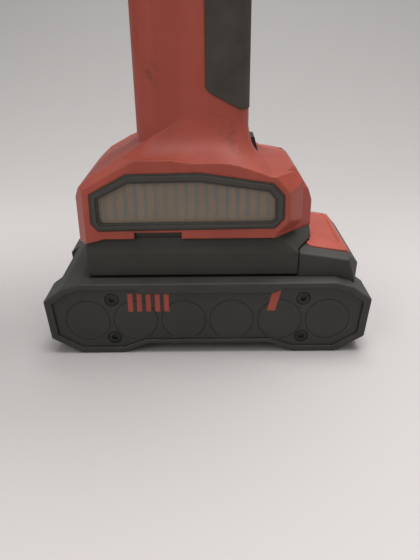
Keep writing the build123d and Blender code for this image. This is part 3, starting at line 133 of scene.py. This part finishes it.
def relief(tree, shader, height, strength, distance, normal=None):
    """Bump from a height socket, on top of an already rounded normal if there is one."""
    bump = tree.nodes.new("ShaderNodeBump")
    bump.inputs["Strength"].default_value = strength
    bump.inputs["Distance"].default_value = distance
    tree.links.new(height, bump.inputs["Height"])
    if normal is not None:
        tree.links.new(normal, bump.inputs["Normal"])
    tree.links.new(bump.outputs["Normal"], shader.inputs["Normal"])


def smudges(tree, place, spots):
    """Soft grubby patches: each spot is a centre and a radius in metres, broken up by noise."""
    total = 0.0
    grime = spread(tree, speckle(tree, place, 260.0, 6.0, 0.7), 0.42, 0.66)
    for centre, radius in spots:
        reach = tree.nodes.new("ShaderNodeVectorMath")
        reach.operation = "DISTANCE"
        reach.inputs[1].default_value = centre
        tree.links.new(place, reach.inputs[0])
        inside = spread(tree, reach.outputs["Value"], radius, 0.0)
        patch = combined(tree, "MULTIPLY", inside, grime)
        total = combined(tree, "ADD", patch, total)
    return total


def moulded_plastic(name, colour, worn, rough=0.5, grain=1400.0, grain_depth=0.00004, edge=0.0007, wear=0.35,
                    dust=0.12, sheen=0.3, edge_highlight=0.0, spots=()):
    """Moulded plastic: fine spark texture, faint blotches, a little dust, paler rubbed edges that are partly
    real wear and partly painted highlight, and an optional even band of painted highlight along the edges.
    """
    finish, tree, shader, place = fresh_finish(name)
    normal, nearness = soft_edges(tree, edge)
    blotches = spread(tree, speckle(tree, place, 38.0, 4.0, 0.62), 0.35, 0.68)
    fine = speckle(tree, place, grain, 2.0, 0.5)
    scuffs = spread(tree, speckle(tree, place, 210.0, 6.0, 0.7), 0.52, 0.72)
    paler = tuple(min(1.0, c * (1.0 + dust) + 0.006) for c in colour)
    tone = blend_colours(tree, blotches, colour, paler)
    if edge_highlight:
        # Painted highlight: an even band of the paler edge colour along every edge.
        tone = blend_colours(tree, combined(tree, "MULTIPLY", nearness, edge_highlight), tone, worn)
        streaks = spread(tree, speckle(tree, place, 90.0, 2.0, 0.5, (1.0, 1.0, 0.08)), 0.40, 0.62, 0.0, 0.30)
        tone = blend_colours(tree, streaks, tone, tuple(c * 0.72 for c in colour))
    if spots:
        grubby = combined(tree, "MULTIPLY", smudges(tree, place, spots), 0.75)
        tone = blend_colours(tree, grubby, tone, GRIME)
    # Paler edges broken up by scuffs: real wear, and on the red shell partly painted highlight.
    rub_and_highlight = combined(tree, "MULTIPLY", combined(tree, "MULTIPLY", nearness, scuffs), wear)
    tree.links.new(blend_colours(tree, rub_and_highlight, tone, worn), shader.inputs["Base Color"])
    tree.links.new(spread(tree, blotches, 0.0, 1.0, rough - 0.05, rough + 0.07), shader.inputs["Roughness"])
    relief(tree, shader, fine, 0.5, grain_depth, normal)
    shader.inputs["Specular IOR Level"].default_value = sheen
    return finish


def soft_rubber(name, colour, worn, rough=0.72, dots=900.0):
    """Overmoulded grip rubber: matte, slightly dusty, with a fine pebble."""
    finish, tree, shader, place = fresh_finish(name)
    normal, nearness = soft_edges(tree, 0.0008)
    cells = tree.nodes.new("ShaderNodeTexVoronoi")
    cells.inputs["Scale"].default_value = dots
    tree.links.new(place, cells.inputs["Vector"])
    haze = spread(tree, speckle(tree, place, 55.0, 5.0, 0.65), 0.38, 0.7)
    tone = blend_colours(tree, haze, colour, worn)
    tree.links.new(blend_colours(tree, combined(tree, "MULTIPLY", nearness, 0.4), tone, worn),
                   shader.inputs["Base Color"])
    tree.links.new(spread(tree, haze, 0.0, 1.0, rough, rough + 0.12), shader.inputs["Roughness"])
    relief(tree, shader, cells.outputs["Distance"], 0.35, 0.00008, normal)
    shader.inputs["Specular IOR Level"].default_value = 0.25
    return finish


def brushed_metal(name, colour, dark, rough=0.32, lines=(1.0, 60.0, 60.0), metallic=1.0, depth=0.00001):
    """Drawn or ground metal with fine lines along X."""
    finish, tree, shader, place = fresh_finish(name)
    normal, nearness = soft_edges(tree, 0.00025)
    strokes = speckle(tree, place, 90.0, 3.0, 0.6, lines)
    smears = spread(tree, speckle(tree, place, 70.0, 4.0, 0.6), 0.35, 0.7)
    tone = blend_colours(tree, smears, colour, dark)
    tree.links.new(blend_colours(tree, combined(tree, "MULTIPLY", nearness, 0.5), tone, colour),
                   shader.inputs["Base Color"])
    tree.links.new(spread(tree, strokes, 0.3, 0.7, rough - 0.08, rough + 0.12), shader.inputs["Roughness"])
    relief(tree, shader, strokes, 0.3, depth, normal)
    shader.inputs["Metallic"].default_value = metallic
    return finish


def cast_alloy(name, colour, dark, rough=0.5, metallic=1.0):
    """Die-cast alloy: pebbled skin and darker patches at random."""
    finish, tree, shader, place = fresh_finish(name)
    normal, nearness = soft_edges(tree, 0.0005)
    skin = speckle(tree, place, 700.0, 4.0, 0.6)
    clouds = spread(tree, speckle(tree, place, 60.0, 4.0, 0.6), 0.35, 0.7)
    tone = blend_colours(tree, clouds, colour, dark)
    bright = tuple(min(1.0, c * 1.5 + 0.02) for c in colour)
    tree.links.new(blend_colours(tree, combined(tree, "MULTIPLY", nearness, 0.35), tone, bright),
                   shader.inputs["Base Color"])
    tree.links.new(spread(tree, skin, 0.3, 0.7, rough - 0.08, rough + 0.1), shader.inputs["Roughness"])
    relief(tree, shader, skin, 0.5, 0.00005, normal)
    shader.inputs["Metallic"].default_value = metallic
    return finish


def filter_cloth(name, colour, dark, slot_shade, slot_pitch, slot_phase):
    """Filter cloth: fine crossed threads, with the grille's slots showing through as cool upright stripes."""
    finish, tree, shader, place = fresh_finish(name)
    wander = tree.nodes.new("ShaderNodeTexNoise")
    wander.inputs["Scale"].default_value = 160.0
    tree.links.new(place, wander.inputs["Vector"])
    parts = tree.nodes.new("ShaderNodeSeparateXYZ")
    tree.links.new(place, parts.inputs["Vector"])

    def wave(axis, pitch, phase=0.0, sway=0.0):
        """Cosine stripes across an axis; sway makes them wander."""
        turned = tree.nodes.new("ShaderNodeMath")
        turned.operation = "MULTIPLY_ADD"
        turned.inputs[1].default_value = 2 * math.pi / pitch
        turned.inputs[2].default_value = -2 * math.pi * phase / pitch
        tree.links.new(parts.outputs[axis], turned.inputs[0])
        swayed = tree.nodes.new("ShaderNodeMath")
        swayed.operation = "MULTIPLY_ADD"
        swayed.inputs[1].default_value = sway
        tree.links.new(wander.outputs["Fac"], swayed.inputs[0])
        tree.links.new(turned.outputs[0], swayed.inputs[2])
        sine = tree.nodes.new("ShaderNodeMath")
        sine.operation = "COSINE"
        tree.links.new(swayed.outputs[0], sine.inputs[0])
        return sine.outputs[0]

    threads = combined(tree, "MULTIPLY", spread(tree, wave("X", THREAD_PITCH), -1.0, 1.0),
                       spread(tree, wave("Z", THREAD_PITCH), -1.0, 1.0))
    clouds = spread(tree, speckle(tree, place, 120.0, 5.0, 0.7), 0.35, 0.7)
    lit = blend_colours(tree, clouds, colour, tuple(c * 0.86 for c in colour))
    cloth = blend_colours(tree, spread(tree, threads, 0.0, 0.5, 0.55, 0.0), lit, dark)
    stripes = spread(tree, wave("X", slot_pitch, slot_phase, 2.2), 0.15, 0.85, 0.0, 0.85)
    above_sill = spread(tree, parts.outputs["Z"], *STRIPE_FOOT)
    patchy = spread(tree, speckle(tree, place, 45.0, 3.0, 0.6), 0.30, 0.6, 0.35, 1.0)
    stripes = combined(tree, "MULTIPLY", combined(tree, "MULTIPLY", stripes, above_sill), patchy)
    tree.links.new(blend_colours(tree, stripes, cloth, slot_shade), shader.inputs["Base Color"])
    relief(tree, shader, threads, 0.5, 0.00008)
    shader.inputs["Roughness"].default_value = 0.72
    return finish


RED = (0.350, 0.065, 0.043)
# Paler orange of the red shell's edges: rubbed wear and painted edge highlight.
RED_WORN_AND_HIGHLIGHT = (0.62, 0.165, 0.075)
GRIME = (0.075, 0.035, 0.026)
GRIP_SPOTS = [((0.0165, -0.0190, 0.0985), 0.0048), ((0.0100, -0.0200, 0.0905), 0.0060),
              ((-0.0215, -0.0190, 0.1130), 0.0060), ((0.0130, -0.0225, 0.0860), 0.0050),
              ((-0.0180, 0.0190, 0.1200), 0.0080), ((-0.0290, 0.0000, 0.1400), 0.0120)]
THREAD_PITCH = 0.8 * MM
SLOT_PITCH = 4.1 * MM
SLOT_START = -40.2 * MM
STRIPE_FOOT = (57.0 * MM, 60.0 * MM)
BLACK = (0.034, 0.032, 0.027)
BLACK_WORN = (0.13, 0.12, 0.11)

finishes = {
    # The red shell's paler edges are partly real wear and partly painted highlight.
    "red_shell": moulded_plastic("red_shell", RED, RED_WORN_AND_HIGHLIGHT, rough=0.46, edge=0.0013, wear=0.55, dust=0.14,
                                 edge_highlight=0.42, spots=GRIP_SPOTS),
    "black_plastic": moulded_plastic("black_plastic", BLACK, BLACK_WORN, rough=0.55, edge=0.0006),
    "grip_rubber": soft_rubber("grip_rubber", (0.050, 0.044, 0.037), (0.075, 0.068, 0.060)),
    "pack_case": moulded_plastic("pack_case", (0.036, 0.035, 0.031), BLACK_WORN, rough=0.58, grain=1000.0,
                                 grain_depth=0.00007, edge=0.0009, wear=0.5),
    "pack_cover": moulded_plastic("pack_cover", (0.033, 0.032, 0.028), BLACK_WORN, rough=0.5, edge=0.0003),
    "bezel": moulded_plastic("bezel", (0.048, 0.044, 0.038), BLACK_WORN, rough=0.5, edge=0.0005),
    "filter_mesh": filter_cloth("filter_mesh", (0.27, 0.205, 0.150), (0.15, 0.115, 0.085),
                                (0.125, 0.150, 0.146), SLOT_PITCH, SLOT_START),
    "steel": brushed_metal("steel", (0.56, 0.56, 0.57), (0.40, 0.40, 0.41)),
    "dark_steel": brushed_metal("dark_steel", (0.060, 0.060, 0.060), (0.030, 0.030, 0.030), rough=0.45),
    "cast_alloy": cast_alloy("cast_alloy", (0.52, 0.52, 0.53), (0.36, 0.36, 0.37)),
    "black_alloy": cast_alloy("black_alloy", (0.045, 0.045, 0.048), (0.025, 0.025, 0.027), 0.5, 0.3),
    "brass": brushed_metal("brass", (0.72, 0.50, 0.20), (0.50, 0.34, 0.14), 0.3),
    "bumper_rubber": soft_rubber("bumper_rubber", (0.02, 0.02, 0.02), (0.04, 0.04, 0.04)),
    "cell_wrap": moulded_plastic("cell_wrap", (0.05, 0.19, 0.10), (0.2, 0.3, 0.2), rough=0.3, edge=0.0004,
                                 wear=0.1),
    "board_green": moulded_plastic("board_green", (0.01, 0.08, 0.035), (0.1, 0.2, 0.1), rough=0.4,
                                   edge=0.0002),
    "potting": moulded_plastic("potting", (0.03, 0.032, 0.04), (0.1, 0.1, 0.1), rough=0.35, edge=0.0005),
    "copper_stator": cast_alloy("copper_stator", (0.45, 0.22, 0.11), (0.28, 0.13, 0.07), 0.45),
    "magnet": brushed_metal("magnet", (0.35, 0.35, 0.37), (0.24, 0.24, 0.25), 0.35),
    "lead_insulation": soft_rubber("lead_insulation", (0.30, 0.02, 0.02), (0.33, 0.05, 0.05), 0.5),
}


def dress(piece, finish):
    """Replaces a piece's finishes by one of the table's."""
    piece.data.materials.clear()
    piece.data.materials.append(finishes[finish])


slot_of = {entry["node"]: entry["material_slot"] for entry in frame["record"]["subparts"]}
for node_name, node in nodes.items():
    dress(node, slot_of[node_name])


# ---------------------------------------------------------------- modelling by hand
WELD_DISTANCE = 0.01 * MM
LEVEL_TOLERANCE = 0.03 * MM
FACING_COSINE = 0.9
SAME_PLACE = 0.1 * MM


def only(piece):
    """Makes one object the active and only selected one."""
    bpy.ops.object.select_all(action="DESELECT")
    piece.select_set(True)
    bpy.context.view_layer.objects.active = piece


def place_in_mesh(piece, name):
    """Names a new piece and moves its place, turn and size into its mesh."""
    piece.name = name
    piece.data.name = name
    only(piece)
    bpy.ops.object.transform_apply(location=True, rotation=True, scale=True)
    return piece


def new_block(name, low, high):
    """A cube primitive between two corners, in metres, ready for shaping."""
    bpy.ops.object.select_all(action="DESELECT")
    middle = [(a + b) / 2 for a, b in zip(low, high)]
    bpy.ops.mesh.primitive_cube_add(size=1.0, location=middle)
    piece = bpy.context.object
    piece.scale = [b - a for a, b in zip(low, high)]
    return place_in_mesh(piece, name)


def finish_with(piece, kind, **settings):
    """Adds one modifier and applies it."""
    only(piece)
    modifier = piece.modifiers.new(kind.lower(), kind)
    for key, value in settings.items():
        setattr(modifier, key, value)
    bpy.ops.object.modifier_apply(modifier=modifier.name)
    return piece


def joined(pieces, name):
    """Joins several shaped pieces into one."""
    bpy.ops.object.select_all(action="DESELECT")
    for piece in pieces:
        piece.select_set(True)
    bpy.context.view_layer.objects.active = pieces[0]
    bpy.ops.object.join()
    result = bpy.context.object
    result.name = name
    result.data.name = name
    return result


def settle(piece, body, finish):
    """Gives a piece its finish, its smooth shading and the body it rides on."""
    only(piece)
    bpy.ops.object.shade_smooth_by_angle(angle=SMOOTH_ANGLE)
    dress(piece, finish)
    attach(piece, body)
    return piece


def flat_outline(node_name, level, facing):
    """Corner points, in order, of a node's flat face at Y = level that faces the given way."""
    source = nodes[node_name]
    mesh = bmesh.new()
    mesh.from_mesh(source.data)
    bmesh.ops.remove_doubles(mesh, verts=mesh.verts, dist=WELD_DISTANCE)
    others = [
        face for face in mesh.faces
        if abs(face.calc_center_median().y - level) >= LEVEL_TOLERANCE
        or face.normal.y * facing <= FACING_COSINE
    ]
    bmesh.ops.delete(mesh, geom=others, context="FACES")
    bmesh.ops.dissolve_limit(mesh, angle_limit=0.01, verts=mesh.verts, edges=mesh.edges)
    face = max(mesh.faces, key=lambda f: f.calc_area())
    points = [v.co.copy() for v in face.verts]
    mesh.free()
    return points


# ---------------------------------------------------------------- filters
CLOTH_LIFT = 0.06 * MM
CLOTH_RELIEF = 0.10 * MM
PLATE_FACE = 29.5 * MM


def filter_weave(side, sign):
    """Woven filter cloth stretched in the frame, cut to the frame's opening."""
    points = flat_outline("filter_" + side, sign * PLATE_FACE, sign)
    low_x, high_x = min(p.x for p in points), max(p.x for p in points)
    low_z, high_z = min(p.z for p in points), max(p.z for p in points)
    across = int((high_x - low_x) / THREAD_PITCH) + 1
    up = int((high_z - low_z) / THREAD_PITCH) + 1
    middle = ((low_x + high_x) / 2, sign * (PLATE_FACE + CLOTH_LIFT + CLOTH_RELIEF), (low_z + high_z) / 2)
    bpy.ops.object.select_all(action="DESELECT")
    bpy.ops.mesh.primitive_grid_add(x_subdivisions=across, y_subdivisions=up, size=1.0, location=middle,
                                    rotation=(sign * -math.pi / 2, 0.0, 0.0))
    cloth = bpy.context.object
    cloth.scale = (across * THREAD_PITCH, up * THREAD_PITCH, 1.0)
    place_in_mesh(cloth, "filter_cloth_" + side)
    for vert in cloth.data.vertices:
        column = round((vert.co.x - low_x) / THREAD_PITCH)
        row = round((vert.co.z - low_z) / THREAD_PITCH)
        vert.co.y += sign * CLOTH_RELIEF * (0.5 if (column + row) % 2 else -0.5)
    centre = Vector((sum(p.x for p in points), 0.0, sum(p.z for p in points))) / len(points)
    only(cloth)
    bpy.ops.object.mode_set(mode="EDIT")
    for i, point in enumerate(points):
        along = points[(i + 1) % len(points)] - point
        outward = Vector((along.z, 0.0, -along.x)).normalized()
        if outward.dot(point - centre) < 0:
            outward.negate()
        bpy.ops.mesh.select_all(action="SELECT")
        bpy.ops.mesh.bisect(plane_co=point, plane_no=outward, clear_outer=True, use_fill=False)
    bpy.ops.object.mode_set(mode="OBJECT")
    return settle(cloth, "filter_" + side, "filter_mesh")


# ---------------------------------------------------------------- printed marks on the pack
MARK_T = 0.07 * MM
MARK_Z = (19.8 * MM, 28.3 * MM)
MARK_SPANS = [(-33.6, -31.4), (-29.8, -27.6), (-26.0, -23.8), (-22.2, -20.0), (-18.4, -16.2)]
SLASH_SPAN = (27.4, 31.0)
SLASH_EXTRA = 1.6 * MM
SLASH_LEAN = 2.4 * MM


def printed_marks(side, sign):
    """Plain printed charge bars and one slanted bar on a side cover; no lettering."""
    low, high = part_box("battery_side_cover_" + side)
    face = high[1] if sign > 0 else low[1]
    bars = []
    for x0, x1 in MARK_SPANS + [SLASH_SPAN]:
        xs = sorted((-sign * x0 * MM, -sign * x1 * MM))
        ys = sorted((face, face + sign * MARK_T))
        slanted = (x0, x1) == SLASH_SPAN
        bottom = MARK_Z[0]
        top = MARK_Z[1] + (SLASH_EXTRA if slanted else 0.0)
        bar = new_block("mark", (xs[0], ys[0], bottom), (xs[1], ys[1], top))
        if slanted:
            for vert in bar.data.vertices:
                if vert.co.z < (bottom + top) / 2:
                    vert.co.x += sign * SLASH_LEAN
        bars.append(bar)
    marks = joined(bars, "printed_marks_" + side)
    return settle(marks, "battery", "red_shell")


# ---------------------------------------------------------------- trim plates on the head
HEAD_FLANK = 30.0 * MM
TRIM_X = (-69.0 * MM, 6.0 * MM)
TRIM_Z = (247.0 * MM, 259.5 * MM)
TRIM_T = 0.9 * MM
TRIM_BURIED = 0.3 * MM
TRIM_CUT = 4.5 * MM
TRIM_RIM = 1.3 * MM
TRIM_SINK = 0.45 * MM
TRIM_ROUND = 0.3 * MM
RIB_COUNT = 9
RIB_HALF = 1.5 * MM
RIB_END_GAP = 9.0 * MM
RIB_TOP_GAP = 2.6 * MM
RIB_LEAN = 0.35


def select_faces(piece, wanted):
    """Selects exactly the faces for which wanted(face) is true, ready for edit mode."""
    only(piece)
    bpy.ops.object.mode_set(mode="EDIT")
    bpy.ops.mesh.select_mode(type="FACE")
    bpy.ops.mesh.select_all(action="DESELECT")
    bpy.ops.object.mode_set(mode="OBJECT")
    for face in piece.data.polygons:
        face.select = wanted(face)
    bpy.ops.object.mode_set(mode="EDIT")


def trim_plate(side, sign):
    """Plain plate with a sunk middle and leaning ribs on the flat side of the head."""
    face_y = sign * HEAD_FLANK
    ys = sorted((face_y - sign * TRIM_BURIED, face_y + sign * TRIM_T))
    plate = new_block("trim_plate_" + side, (TRIM_X[0], ys[0], TRIM_Z[0]), (TRIM_X[1], ys[1], TRIM_Z[1]))
    only(plate)
    bpy.ops.object.mode_set(mode="EDIT")
    bpy.ops.mesh.select_mode(type="EDGE")
    bpy.ops.mesh.select_all(action="DESELECT")
    bpy.ops.object.mode_set(mode="OBJECT")
    for edge in plate.data.edges:
        first, second = (plate.data.vertices[i].co for i in edge.vertices)
        edge.select = abs(first.x - second.x) < SAME_PLACE and abs(first.z - second.z) < SAME_PLACE
    bpy.ops.object.mode_set(mode="EDIT")
    bpy.ops.mesh.bevel(offset=TRIM_CUT, segments=1, affect="EDGES")
    bpy.ops.object.mode_set(mode="OBJECT")
    select_faces(plate, lambda face: face.normal.y * sign > FACING_COSINE)
    bpy.ops.mesh.inset(thickness=TRIM_RIM)
    bpy.ops.transform.translate(value=(0.0, -sign * TRIM_SINK, 0.0))
    bpy.ops.object.mode_set(mode="OBJECT")
    pieces = [plate]
    pitch = (TRIM_X[1] - TRIM_X[0] - 2 * RIB_END_GAP) / RIB_COUNT
    for i in range(RIB_COUNT):
        x = TRIM_X[0] + RIB_END_GAP + pitch * (i + 0.5)
        bottom = TRIM_Z[0] + RIB_TOP_GAP
        top = TRIM_Z[1] - RIB_TOP_GAP
        rib = new_block("rib", (x - RIB_HALF, ys[0], bottom), (x + RIB_HALF, ys[1], top))
        for vert in rib.data.vertices:
            vert.co.x -= (vert.co.z - TRIM_Z[0]) * RIB_LEAN * sign
        pieces.append(rib)
    plate = joined(pieces, "trim_plate_" + side)
    finish_with(plate, "BEVEL", width=TRIM_ROUND, segments=2, limit_method="ANGLE",
                angle_limit=math.radians(40))
    return settle(plate, "tool", "black_plastic")


for side_name, side_sign in (("left", -1), ("right", 1)):
    filter_weave(side_name, side_sign)
    printed_marks(side_name, side_sign)
    trim_plate(side_name, side_sign)


# ---------------------------------------------------------------- floor, light and camera
GROUND_SIDE = 3.8
GROUND_FRONT = -1.2
GROUND_TURN = 0.20
GROUND_RADIUS = 0.42
WALL_TOP = 1.2
# Painted shade: from the tool back to this depth the paper darkens to the far colour, which carries on up the
# wall.
SHADE_FADE_END = 0.56
PAPER_NEAR = (0.430, 0.408, 0.402)
PAPER_NEAR_PALE = (0.452, 0.430, 0.423)
PAPER_FAR_SHADE = (0.205, 0.199, 0.195)
AMBIENT = (1.0, 0.985, 0.97, 1.0)
AMBIENT_STRENGTH = 0.38


def pale_ground():
    """A plain sweep: floor turning up into a wall behind the tool, with painted shade darkening it towards
    the back.
    """
    bpy.ops.object.select_all(action="DESELECT")
    depth = GROUND_TURN - GROUND_FRONT
    bpy.ops.mesh.primitive_plane_add(size=1.0, location=(0.0, GROUND_FRONT + depth / 2, 0.0))
    sweep = bpy.context.object
    sweep.scale = (GROUND_SIDE, depth, 1.0)
    place_in_mesh(sweep, "sweep")
    for group in (sweep.data.edges, sweep.data.polygons):
        for part in group:
            part.select = all(sweep.data.vertices[i].co.y > GROUND_TURN - MM for i in part.vertices)
    for vert in sweep.data.vertices:
        vert.select = vert.co.y > GROUND_TURN - MM
    bpy.ops.object.mode_set(mode="EDIT")
    bpy.ops.mesh.select_mode(type="EDGE")
    bpy.ops.mesh.spin(steps=16, angle=-math.pi / 2, center=(0.0, GROUND_TURN, GROUND_RADIUS),
                      axis=(1.0, 0.0, 0.0))
    bpy.ops.mesh.extrude_region_move(TRANSFORM_OT_translate={"value": (0.0, 0.0, WALL_TOP)})
    bpy.ops.object.mode_set(mode="OBJECT")
    bpy.ops.object.shade_smooth()
    finish, tree, shader, place = fresh_finish("sweep_paper")
    parts = tree.nodes.new("ShaderNodeSeparateXYZ")
    tree.links.new(place, parts.inputs["Vector"])
    # Painted shade: the paper's colour darkens with depth behind the tool.
    far_shade = spread(tree, parts.outputs["Y"], 0.0, SHADE_FADE_END)
    haze = speckle(tree, place, 3.0, 3.0, 0.5)
    near_tone = blend_colours(tree, haze, PAPER_NEAR, PAPER_NEAR_PALE)
    tree.links.new(blend_colours(tree, far_shade, near_tone, PAPER_FAR_SHADE), shader.inputs["Base Color"])
    shader.inputs["Roughness"].default_value = 0.6
    shader.inputs["Specular IOR Level"].default_value = 0.2
    sweep.data.materials.append(finish)


def lamp(name, place, aim, size, power):
    """A square area lamp at a place, turned towards an aim point."""
    data = bpy.data.lights.new(name, "AREA")
    data.energy = power
    data.size = size
    obj = bpy.data.objects.new(name, data)
    obj.location = place
    obj.rotation_euler = (Vector(aim) - Vector(place)).to_track_quat("-Z", "Y").to_euler()
    bpy.context.scene.collection.objects.link(obj)


def studio():
    """Soft light from all round, a large lamp overhead and a small one at the front left."""
    world = bpy.data.worlds.new("studio")
    bpy.context.scene.world = world
    world.use_nodes = True
    background = world.node_tree.nodes["Background"]
    background.inputs["Color"].default_value = AMBIENT
    background.inputs["Strength"].default_value = AMBIENT_STRENGTH
    lamp("overhead", (0.10, 0.12, 1.25), (0.0, 0.0, 0.05), 0.9, 26.0)
    lamp("front_left", (-0.75, -0.85, 0.95), (0.0, 0.0, 0.08), 0.8, 3.6)
    bpy.context.scene.view_settings.view_transform = "Standard"
    bpy.context.scene.view_settings.look = "None"


CAMERA_PLACE = (1.1 * MM, -250.0 * MM, 133.8 * MM)
CAMERA_PITCH_DOWN = 25.0
CAMERA_ROLL = -0.5
SENSOR = 36.0
LENS_RATIO = 570.0 / 560.0


def close_camera():
    """Camera near the foot, looking down on it a little from the left side."""
    data = bpy.data.cameras.new("camera")
    data.sensor_fit = "AUTO"
    data.sensor_width = SENSOR
    data.lens = SENSOR * LENS_RATIO
    data.clip_start = 0.01
    obj = bpy.data.objects.new("camera", data)
    obj.location = CAMERA_PLACE
    obj.rotation_euler = (math.radians(90.0 - CAMERA_PITCH_DOWN), 0.0, 0.0)
    obj.rotation_euler.rotate_axis("Z", math.radians(CAMERA_ROLL))
    bpy.context.scene.collection.objects.link(obj)
    bpy.context.scene.camera = obj


pale_ground()
studio()
close_camera()
